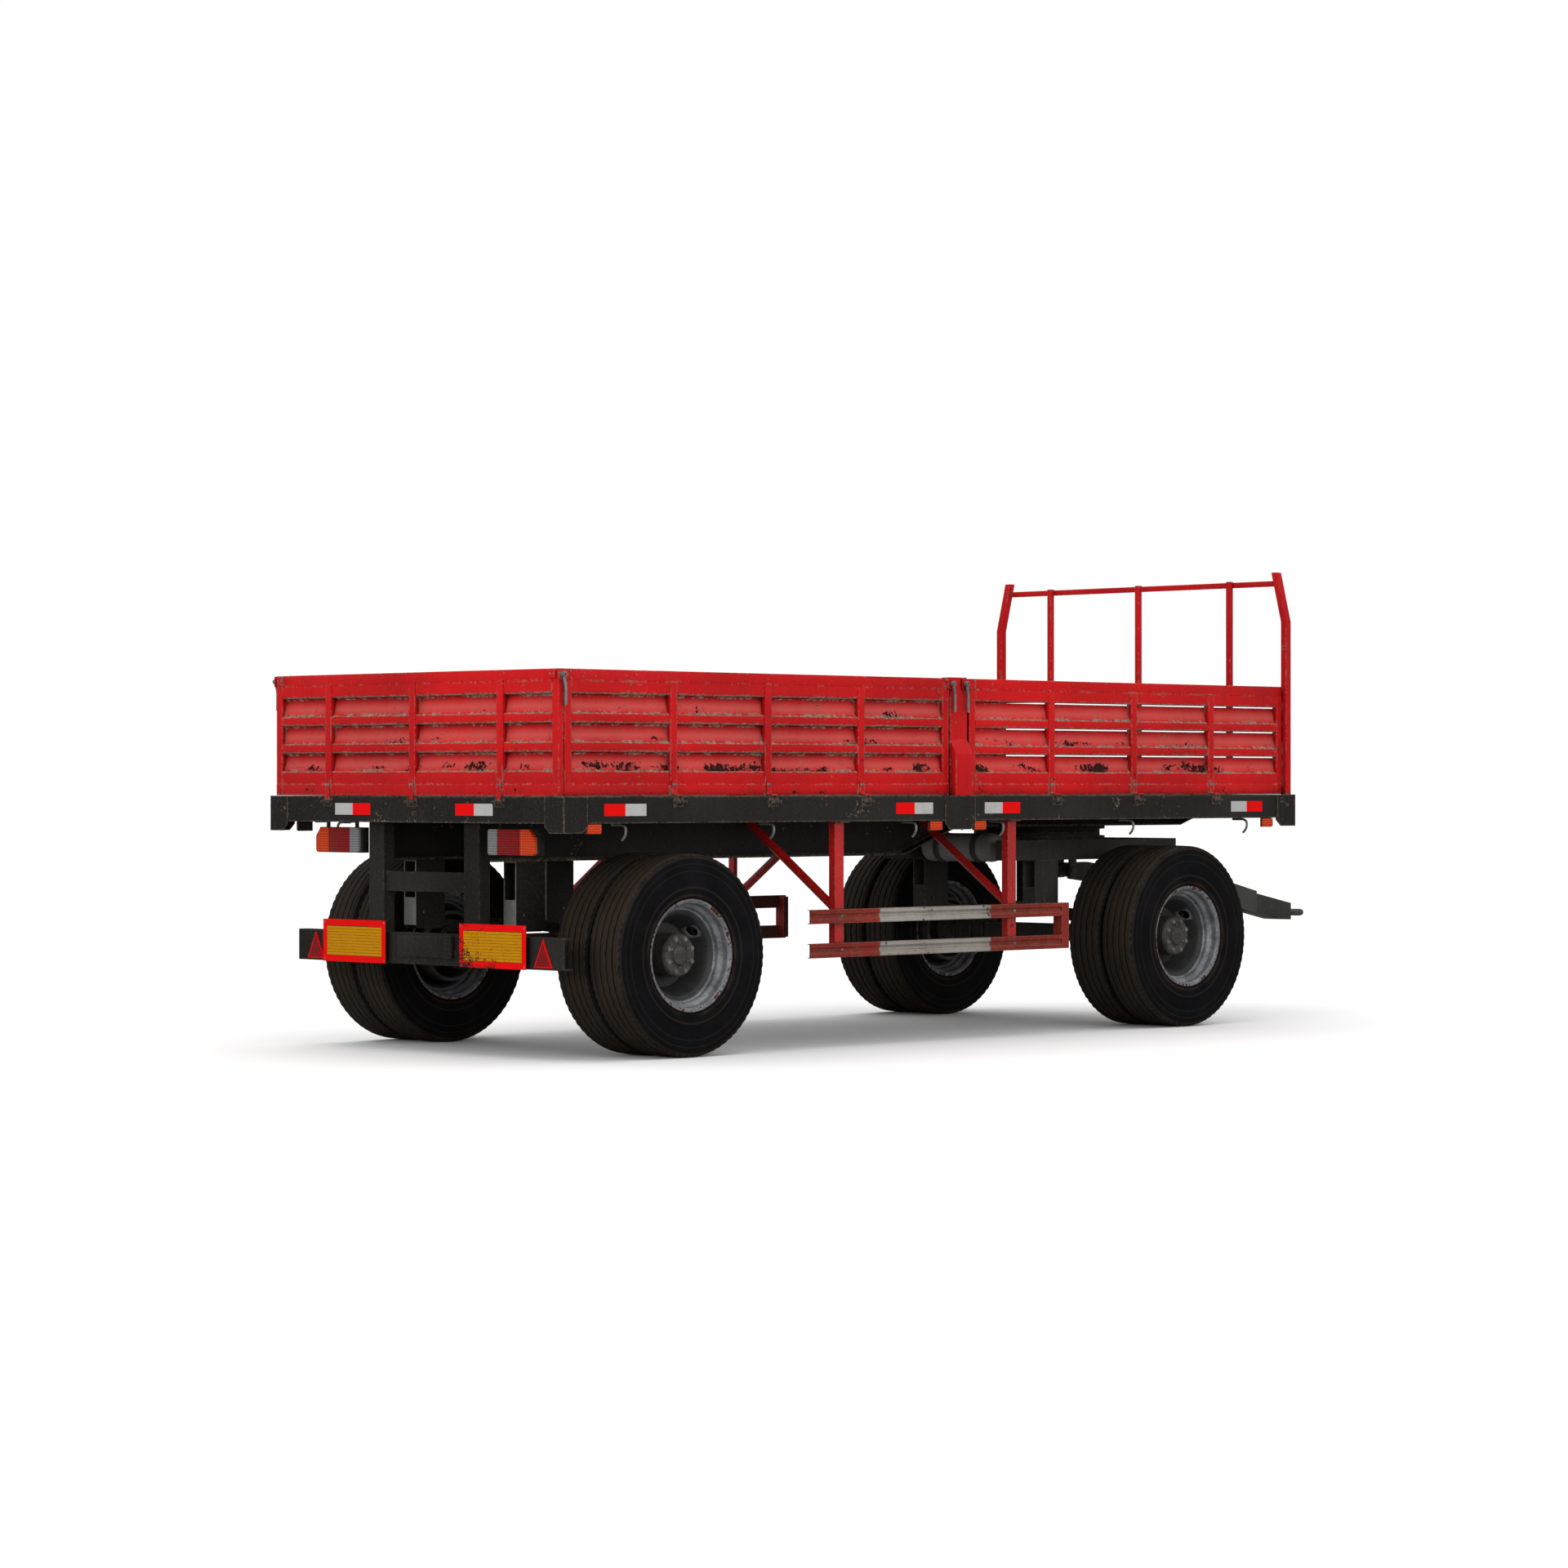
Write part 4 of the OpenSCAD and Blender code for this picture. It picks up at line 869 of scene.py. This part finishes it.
for side, place in SIDES:
    levers = {
        f"rear_{side}_corner_lever": CORNER_LEVER_X,
        f"rear_{side}_post_lever": REAR_LEVER_X,
        f"front_{side}_post_lever": FRONT_LEVER_X,
    }
    for name, x in levers.items():
        lever = Shape(place)
        lever.lathe([(6.06, -35), (13.6, -35), (15, -33.6), (15, -14.4), (13.6, -13), (6.06, -13)],
                    (x, 0, PIN_Z), "y", 32)
        rod = [(x, PIN_Z - 10), (x + 14, PIN_Z - 53), (x + 14, PIN_Z - 160)]
        lever.tube(smooth_path([(a, -24, b) for a, b in rod], 22, 8), 8.5, sides=20)
        lever.finish(name + "_forged", name, [STEEL], [name], "grey_paint")

HOOKS, HOOK_Z, HOOK_ROD = (450, 1535, 2650, 3373, 4510, 5566), 1228, 7
hooks = Shape()
for s in (-1, 1):
    for x in HOOKS:
        path = [(1072, 0), (1158, 0), (1180, -14), (1181, -42), (1170, -64), (1152, -80)]
        bar = smooth_path([(x, s * y, HOOK_Z + z) for y, z in path], 14, 5)
        hooks.tube(bar, HOOK_ROD, sides=16)
        for edge in (x - HOOK_ROD, x + HOOK_ROD):
            hooks.weld((edge, s * 1130, HOOK_Z + 6), (edge, s * 1086, HOOK_Z + 6), 3.0)
hooks.finish("rope_hook_bars", "chassis", [STEEL], ["rope_hooks"], "chassis_paint")

# ---- Bed frame, posts and headboard


def softened(node, body, material, slot, bevel=2.0, segments=2):
    """The CAD node's own shape with rounded edges and a finish."""
    piece = Shape().copy_node(node, bevel, segments)
    return piece.finish(node + "_rounded", body, [material], [node], slot)


for node in ("main_beams", "cross_rails", "side_rails", "corner_plates", "hinge_brackets"):
    softened(node, "chassis", BLACK, "chassis_paint", 1.6)
for node in ("underrun_posts", "underrun_beam", "rear_axle", "rear_springs",
             "rear_spring_hangers", "turntable_upper_ring"):
    softened(node, "chassis", UNDER, "chassis_paint", 1.6)
for node in ("fixed_posts", "headboard_slats"):
    softened(node, "chassis", RED, "red_paint", 2.2, 3)
# Painted light: faces that face the rear are light grey, the rest of the hangers stay black.
hangers = bpy.data.objects["rear_spring_hangers_rounded"].data
hangers.materials.append(TANK_GREY)
for face in hangers.polygons:
    faces_back = face.normal.x < -0.9
    face.material_index = 1 if faces_back else 0

PANELS, SCREW_ROW = 5, 7
planks = Shape()
deck_lo, deck_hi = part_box("deck")
deck_x = [(v - REAR) * 1000 for v in (deck_lo.x, deck_hi.x)]
deck_y = [v * 1000 for v in (deck_lo.y, deck_hi.y)]
deck_z = [v * 1000 for v in (deck_lo.z, deck_hi.z)]
joints = [deck_x[0] + (deck_x[1] - deck_x[0]) * i / PANELS for i in range(PANELS + 1)]
for a, b in zip(joints, joints[1:]):
    planks.box((a + 1.5, b - 1.5), deck_y, (deck_z[0], deck_z[1] - 0.6), 1.5)
    for x in (a + 40, (a + b) / 2, b - 40):
        for k in range(SCREW_ROW):
            y = deck_y[0] + 60 + (deck_y[1] - deck_y[0] - 120) * k / (SCREW_ROW - 1)
            planks.dome((x, y, deck_z[1] - 0.9), "z", 0.9, 9, slot=1)
planks.finish("deck_panels", "chassis", [WOOD, STEEL], ["deck"], "deck_board")

# ---- Tapes and side lamps

TAPES = ((280, 0), (2468, 0), (3195, 1), (5391, 1))
TAPE_HALF, TAPE_Z, TAPE_THICK = 149, (1275, 1338), 0.9
REAR_TAPE_Y, RAIL_FACE = 350, 1200
tapes = Shape()
for s in (-1, 1):
    face = sorted((s * RAIL_FACE, s * (RAIL_FACE + TAPE_THICK)))
    for x, first in TAPES:
        for k in (0, 1):
            tapes.box((x + TAPE_HALF * k, x + TAPE_HALF * (k + 1)), face, TAPE_Z, 0,
                      slot=(k + first) % 2)
    for k in (0, 1):
        y = sorted(s * (REAR_TAPE_Y + TAPE_HALF * half) for half in (k, k + 1))
        tapes.box((-TAPE_THICK, 0), y, TAPE_Z, 0, slot=k)
tapes.finish("reflective_tape_strips", "chassis", [FILM_RED, FILM_WHITE],
             ["reflective_tapes"], "reflective_film")

SIDE_LAMPS = (165, 2748, 3112, 5698)
lamps = Shape()
for s in (-1, 1):
    for x in SIDE_LAMPS:
        y = [s * 1177, s * 1183, s * 1197]
        lamps.box((x, x + 104), sorted(y[:2]), (1181, 1236), 1.5, slot=1)
        lamps.box((x + 3, x + 101), sorted(y[1:]), (1184, 1233), 4, segments=3, slot=0)
        for dx in (8, 96):
            lamps.dome((x + dx, y[2], 1208), "y", 0.2, 3, s, slot=2)
lamps.finish("side_lamp_units", "chassis", [SIDE_AMBER, DARK_STEEL, STEEL],
             ["side_marker_lamps"], "amber_lens")

# ---- Tail lamps

housing = Shape().copy_node("tail_lamp_housings", 4, 3)
for s in (-1, 1):
    for y in (590, 835):
        housing.hexagon((108, s * y, 1236), "z", (-5, -10), 16, slot=1)
housing.finish("tail_lamp_cases", "chassis", [UNDER, STEEL], ["tail_lamp_housings"], "lamp_case")

LAMP_BOTTOM, LAMP_TOP = 1069, 1205
LAMP_SECTIONS = [
    ([(532, 1078), (540, LAMP_BOTTOM), (606, LAMP_BOTTOM), (606, LAMP_TOP), (540, LAMP_TOP),
      (532, 1196)], 2),
    ([(608, LAMP_BOTTOM), (783, LAMP_BOTTOM), (783, LAMP_TOP), (608, LAMP_TOP)], 1),
    ([(785, LAMP_BOTTOM), (884, LAMP_BOTTOM), (895, 1081), (895, 1160), (857, LAMP_TOP),
      (785, LAMP_TOP)], 0),
]
LAMP_BACK = [(531, 1070), (884, 1070), (894, 1082), (894, 1160), (856, 1204), (540, 1204), (531, 1196)]
glass = Shape()
for s in (-1, 1):
    for outline, slot in LAMP_SECTIONS:
        glass.prism("x", [(s * y, z) for y, z in outline], (63, 92), 5, segments=3, slot=slot)
    glass.prism("x", [(s * y, z) for y, z in LAMP_BACK], (80, 92), 1, slot=3)
glass.finish("tail_lamp_glass", "chassis", [AMBER, LAMP_RED, CLEAR, DARK_STEEL],
             ["tail_lamp_lenses"], "red_lens")

# ---- Rear plates


def scuff_marks(co):
    """More scuffs low on the right plate and towards its inner end."""
    return (0.5 + 0.5 * max(0.0, (600 - co.z) / 120) + 0.5 * (520 + co.y) / 300,)


PLATE_Y, PLATE_LOW, PLATE_HIGH, PLATE_EDGE = (304, 833), 476, 706, 34
RIBS, RIB_PITCH, RIB_HEIGHT = 10, 15.8, 14.4
plates = Shape()
for s in (-1, 1):
    scuffed = {"marks": scuff_marks if s < 0 else None}
    lo, hi = sorted(s * y for y in PLATE_Y)
    plates.box((66.4, 70), (lo, hi), (PLATE_LOW, PLATE_HIGH), 0.8, slot=2)
    low, high = PLATE_LOW + PLATE_EDGE, PLATE_HIGH - PLATE_EDGE
    for y, z in (((lo, hi), (PLATE_LOW, low)), ((lo, hi), (high, PLATE_HIGH)),
                 ((lo, lo + PLATE_EDGE), (low, high)), ((hi - PLATE_EDGE, hi), (low, high))):
        plates.box((66, 66.6), y, z, 0, slot=0, **scuffed)
    for k in range(RIBS):
        z = low + 2 + k * RIB_PITCH
        plates.box((66.1, 67), (lo + PLATE_EDGE, hi - PLATE_EDGE), (z, z + RIB_HEIGHT), 0.4, slot=1,
                   **scuffed)
    for y in (lo + 14, hi - 14):
        for z in (PLATE_LOW + 14, PLATE_HIGH - 14):
            plates.dome((66, y, z), "x", 0.01, 5, -1, slot=3)
    for y in (364, 733):
        for z in (520, 600):
            plates.box((70, 100), sorted((s * y, s * (y + 40))), (z, z + 20), 1.5, slot=2)
    outer, inner = ((862, 488), (1004, 488), (933, 636)), ((876, 496), (990, 496), (933, 618))
    plates.prism("x", [(s * y, z) for y, z in outer], (94, 100), 1.2, slot=0)
    plates.prism("x", [(s * y, z) for y, z in inner], (92, 95), 0.6, slot=4)
plates.box((88.5, 100), (-140, 235), (515, 630), 4, segments=3, slot=2)
plates.box((87.6, 90), (-128, 223), (527, 618), 0.8, slot=2)
plates.box((70, 100), (-230, -160), (512, 636), 6, segments=3, slot=2)
for z in (536, 560, 584, 608):
    plates.box((69, 74), (-222, -168), (z, z + 8), 1.4, slot=2)
plates.finish("rear_marker_plates", "chassis",
              [FILM_RED, FILM_OCHRE, UNDER, STEEL, LAMP_RED],
              ["rear_plates"], "marker_film")

# ---- Side guards

GUARD_SPAN, WHITE_BAND, GUARD_RAILS = (1830, 3890), (2370, 3280), ((680, 757), (494, 573))
posts = Shape().copy_node("side_guard_posts", 1.6)
for s in (-1, 1):
    for x in (2045, 3455):
        for z in (533, 718):
            posts.hexagon((x + 35, s * 1134, z), "y", (0, -s * 9), 19, slot=1)
brackets = posts.finish("side_guard_brackets", "chassis",
                        [POST_RED, STEEL, GUARD_RED, GUARD_SHADED_SIDE], ["side_guard_posts"], "red_paint")


def faces_inwards(face):
    return face.normal.y * face.center.y < -0.5 * abs(face.center.y)


END_PIECE = trailer(3880, 0, 0).x
# Faces of the end pieces that face in take the darker copy of the guard paint as painted shade.
for face in brackets.data.polygons:
    if face.center.x > END_PIECE:
        face.material_index = 3 if faces_inwards(face) else 2

rails = Shape()
for s in (-1, 1):
    for z0, z1 in GUARD_RAILS:
        outline = [
            (1140, z0), (1170, z0), (1170, z0 + 22), (1161, z0 + 30), (1161, z1 - 30),
            (1170, z1 - 22), (1170, z1), (1140, z1), (1140, z1 - 4), (1156, z1 - 4),
            (1156, z0 + 4), (1140, z0 + 4),
        ]
        for a, b, slot in ((GUARD_SPAN[0], WHITE_BAND[0], 0), (*WHITE_BAND, 1),
                           (WHITE_BAND[1], GUARD_SPAN[1], 0)):
            rails.prism("x", [(s * y, z) for y, z in outline], (a, b), 1.6, slot=slot)
        for x in (2080, 3490):
            rails.dome((x, s * 1161, (z0 + z1) / 2), "y", 6, 10, s, slot=2)
profiles = rails.finish("side_guard_profiles", "chassis",
                        [GUARD_RED, GUARD_WHITE, STEEL, GUARD_SHADED_SIDE], ["side_guard_rails"], "red_paint")
# Faces that face in take the darker copy of the guard paint as painted shade.
for face in profiles.data.polygons:
    if faces_inwards(face):
        face.material_index = 3

# ---- Wheels: one set is drawn about its own centre and placed four times

TYRE_R, TWIN_Y, TWIN_GAP, GROOVE = 537.5, 965.5, 127, 11
AXLES = {"rear": 904, "front": 4987.5}
STEPS = 288


def local(x, y, z):
    return Vector((x, y, z)) / 1000


def mirrored(half):
    """Adds the same (radius, along) points on the other side, in reverse order."""
    return half + [(r, -a) for r, a in reversed(half)]


def tyre_outline():
    """Half of the section from the bead over the side wall to the tread's middle."""
    side = [
        (284, 84), (285, 98), (300, 99), (303, 108), (312, 110), (316, 112.5), (322, 112.5),
        (326, 113.5), (350, 117), (356, 118.6), (362, 118.6), (366, 118), (400, 119.2),
        (440, 119.4), (446, 118.2), (452, 119.2), (478, 118.6), (484, 117.4), (490, 118.4),
        (508, 116.5), (516, 114.5), (519, 111.5), (524, 112), (531, 108), (534.6, 102),
        (535.6, 96),
    ]
    tread = []
    for a, b in ((92, 73), (63, 28)):
        crown = TYRE_R - 2.0 * (a / 100) ** 2
        tread += [(crown - 0.8, a + 0.6), (crown, a - 1), (crown, b + 1), (crown - 0.8, b - 0.6)]
        tread += [(crown - GROOVE, b - 2), (crown - GROOVE, b - 8)]
    return side + [(526, 94.5), (526, 93)] + tread + [(TYRE_R - 0.9, 18.6), (TYRE_R - 0.1, 17)]


def tyre_shape(radius, along, k):
    """Cuts teeth in the shoulder and lets the grooves wave."""
    if radius > 505 and 100 < abs(along) and k % 4 < 2:
        radius -= 3.2 if radius > 522 else 1.2
    if radius > 520 and abs(along) < 78:
        along += 1.8 * math.sin(k * math.pi * 2 / 6)
    return radius, along


def tyre_marks(co):
    radius = math.hypot(co.x, co.z)
    shoulder = abs(abs(co.y) - TWIN_GAP) > 90
    tread = 1.0 if radius > 531 else 0.55 if radius > 515 and shoulder else 0.0
    ring = max(0.0, 1 - abs(radius - 318) / 14) * 0.8
    line = any(abs(radius - r) < 4 for r in (359, 446, 484, 516))
    return (ring, 0.8 if line and tread < 1 else 0.0, tread)


def wheel_parts():
    """The meshes of a twin wheel about (0, 0, 0), outer side towards +Y."""
    inside = [(500, 92), (488, 101), (420, 104), (345, 101), (310, 92)]
    outline = mirrored(tyre_outline())
    outline += [(r, -a) for r, a in reversed(inside)] + [(517, -60), (517, 60)] + inside
    tyres = Shape(local)
    for s in (-1, 1):
        tyres.lathe(outline, (0, s * TWIN_GAP, 0), "y", STEPS, tyre_shape, marks=tyre_marks)
    yield "tyres", tyres, [RUBBER], "tyre_rubber", 40

    rims = Shape(local)
    c = TWIN_GAP
    face = [(299, c + 108), (299, c + 99), (284, c + 98), (284, c + 66), (262, c + 50),
            (262, c - 50), (284, c - 66), (284, c - 98), (299, c - 99), (299, c - 108)]
    back = [(290, c - 108), (275, c - 98), (275, c - 62), (253, c - 46), (253, c + 2),
            (243, c + 6), (228, c - 6), (182, 0.6), (105, 0.1)]
    hidden = [(105, 12), (172, 12), (216, c + 6), (234, c + 20), (253, c + 22), (253, c + 46),
              (275, c + 62), (275, c + 98), (290, c + 108)]
    section = [tuple(p) for p in smooth_path(face + back + hidden + [face[0]], 7, 3)][:-1]

    def rim_marks(co):
        radius = math.hypot(co.x, co.z)
        # Painted shade: the disc inside 238 mm is marked for the near-black shade inside the rim.
        dark = 1.0 if radius < 238 else max(0.0, 1 - (radius - 238) / 9)
        return (1.0 if radius > 280 else 0.15, dark, 0.0)

    for s in (1, -1):
        rims.lathe([(r, s * a) for r, a in section], (0, 0, 0), "y", 96, marks=rim_marks)
    yield "rims", rims, [ZINC], "zinc_steel", 35

    hub = Shape(local)
    front = 1108 - TWIN_Y
    hub.lathe([
        (40.06, -220), (98, -220), (100, -218), (100, -32), (150, -32), (178, -112), (178, -235),
        (195, -235), (198, -232), (198, -206), (194, -203), (198, -200), (198, -98), (170, -12),
        (104, -12), (104, 12), (113, 12), (116, 15), (116, front - 14),
        (112, front - 6), (106, front), (70, front), (66, front - 3), (60, front - 3),
        (56, front), (53, front + 4), (50, front + 10), (44, front + 13), (34, front + 15),
        (0, front + 15), (0, 122.5), (40.06, 122.5),
    ], (0, 0, 0), "y", 72, marks=lambda co: (0.2, 0.0, 0.0))
    nuts, nut_circle, bolts, bolt_circle = 8, 90, 6, 65.32
    for k in range(nuts):
        t = 2 * math.pi * (k + 0.5) / nuts
        x, z = nut_circle * math.cos(t), nut_circle * math.sin(t)
        hub.pin((x, 0, z), "y", (front - 1, front + 3), 16, slot=1)
        hub.hexagon((x, 0, z), "y", (front + 2, front + 13), 24, slot=1)
        hub.pin((x, 0, z), "y", (front + 12, front + 15), 7.5, slot=1)
    for k in range(bolts):
        t = 2 * math.pi * (k + 0.5) / bolts
        hub.hexagon((bolt_circle * math.cos(t), 0, bolt_circle * math.sin(t)), "y",
                    (front - 1, front + 4), 9, slot=1)
    yield "hub", hub, [DARK_STEEL, STEEL], "hub_paint", 25


def cut_hand_holes(piece):
    """Cuts two round holes through both wheel discs."""
    hole_circle, hole_radius, reach = 210, 35, 34
    cutter = Shape(local)
    for t in (math.radians(38), math.radians(218)):
        for s in (-1, 1):
            middle = Vector((hole_circle * math.cos(t), s * 68, hole_circle * math.sin(t)))
            across = Vector((math.cos(t), -s * 0.39, math.sin(t))) * reach
            cutter.tube([middle - across, middle + across], hole_radius, sides=32)
    data = bpy.data.meshes.new("cutter")
    bmesh.ops.recalc_face_normals(cutter.mesh, faces=cutter.mesh.faces)
    cutter.mesh.to_mesh(data)
    cutter.mesh.free()
    tool = placed("cutter", data)
    cut = piece.modifiers.new("holes", "BOOLEAN")
    cut.object, cut.operation, cut.solver = tool, "DIFFERENCE", "EXACT"
    bpy.context.view_layer.update()
    shown = piece.evaluated_get(bpy.context.evaluated_depsgraph_get())
    made = bpy.data.meshes.new_from_object(shown)
    piece.modifiers.clear()
    piece.data = made
    piece.data.set_sharp_from_angle(angle=math.radians(35))
    bpy.data.objects.remove(tool)


for kind, shape, materials, slot, sharp in wheel_parts():
    first = None
    for end, x in AXLES.items():
        for side, sign in (("left", 1), ("right", -1)):
            node, body = f"{end}_{side}_{kind}", f"{end}_{side}_wheels"
            if first is None:
                piece = first = shape.finish(node + "_detailed", body, materials, [], slot, sharp)
                if kind == "rims":
                    cut_hand_holes(first)
                base = first.data.copy()
            else:
                piece = placed(node + "_detailed", base.copy())
            centre = trailer(x, sign * TWIN_Y, TYRE_R)
            turn = Matrix.Translation(centre)
            if sign < 0:
                turn = turn @ Matrix.Scale(-1, 4, (0, 1, 0))
            piece.data.transform(turn)
            if sign < 0:
                piece.data.flip_normals()
            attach(piece, body)
            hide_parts(node)

# ---- Dolly, tank and drawbar

for node in ("turntable_lower_ring", "dolly_beams", "dolly_crossmembers", "front_axle",
             "front_springs", "dolly_brackets"):
    softened(node, "dolly", DOLLY, "chassis_paint", 1.8)

tank_lo, tank_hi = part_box("air_tank")
tank_x = ((tank_lo.x + tank_hi.x) / 2 - REAR) * 1000
tank_z = (tank_lo.z + tank_hi.z) / 2 * 1000
half = tank_hi.y * 1000
TANK_R = 84.9
end = [(0, 0), (22, 0.6), (44, 4), (62, 11), (75, 21), (82, 32), (TANK_R, 45)]
seam = [(TANK_R, 60), (86.5, 62), (86.5, 68), (TANK_R, 70)]
tank = Shape()
tank.lathe(mirrored([(r, half - a) for r, a in end + seam]), (tank_x, 0, tank_z), "y", 64)
tank.pin((tank_x, -60, tank_z), "z", (-85, -84), 12, steps=16, slot=1)
tank.finish("air_tank_shell", "dolly", [TANK_GREY, STEEL], ["air_tank"], "grey_paint")

for node in ("drawbar_arms", "drawbar_nose"):
    softened(node, "drawbar", GREY, "grey_paint", 3, 3)
eye = Shape()
eye_lo, eye_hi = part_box("towing_eye")
eye_z = (eye_lo.z + eye_hi.z) / 2 * 1000
EYE_X, BORE_R, RING_R, BAR_R = 7532, 25, 36, 22
ring = [(BORE_R, -18), (27, -21), (31, -BAR_R), (RING_R, -BAR_R)]
ring += [(RING_R + BAR_R * math.cos(t), BAR_R * math.sin(t)) for t in
         (math.radians(a) for a in range(-78, 79, 12))]
ring += [(RING_R, BAR_R), (31, BAR_R), (27, 21), (BORE_R, 18)]
eye.lathe(ring, (EYE_X, 0, eye_z), "z", 72)
eye.lathe([(0, 7418), (30, 7418), (30, 7422), (24, 7430), (20, 7438), (20, 7502), (0, 7502)],
          (0, 0, eye_z), "x", 40)
eye.finish("towing_eye_forging", "drawbar", [DARK_STEEL], ["towing_eye"], "grey_paint")
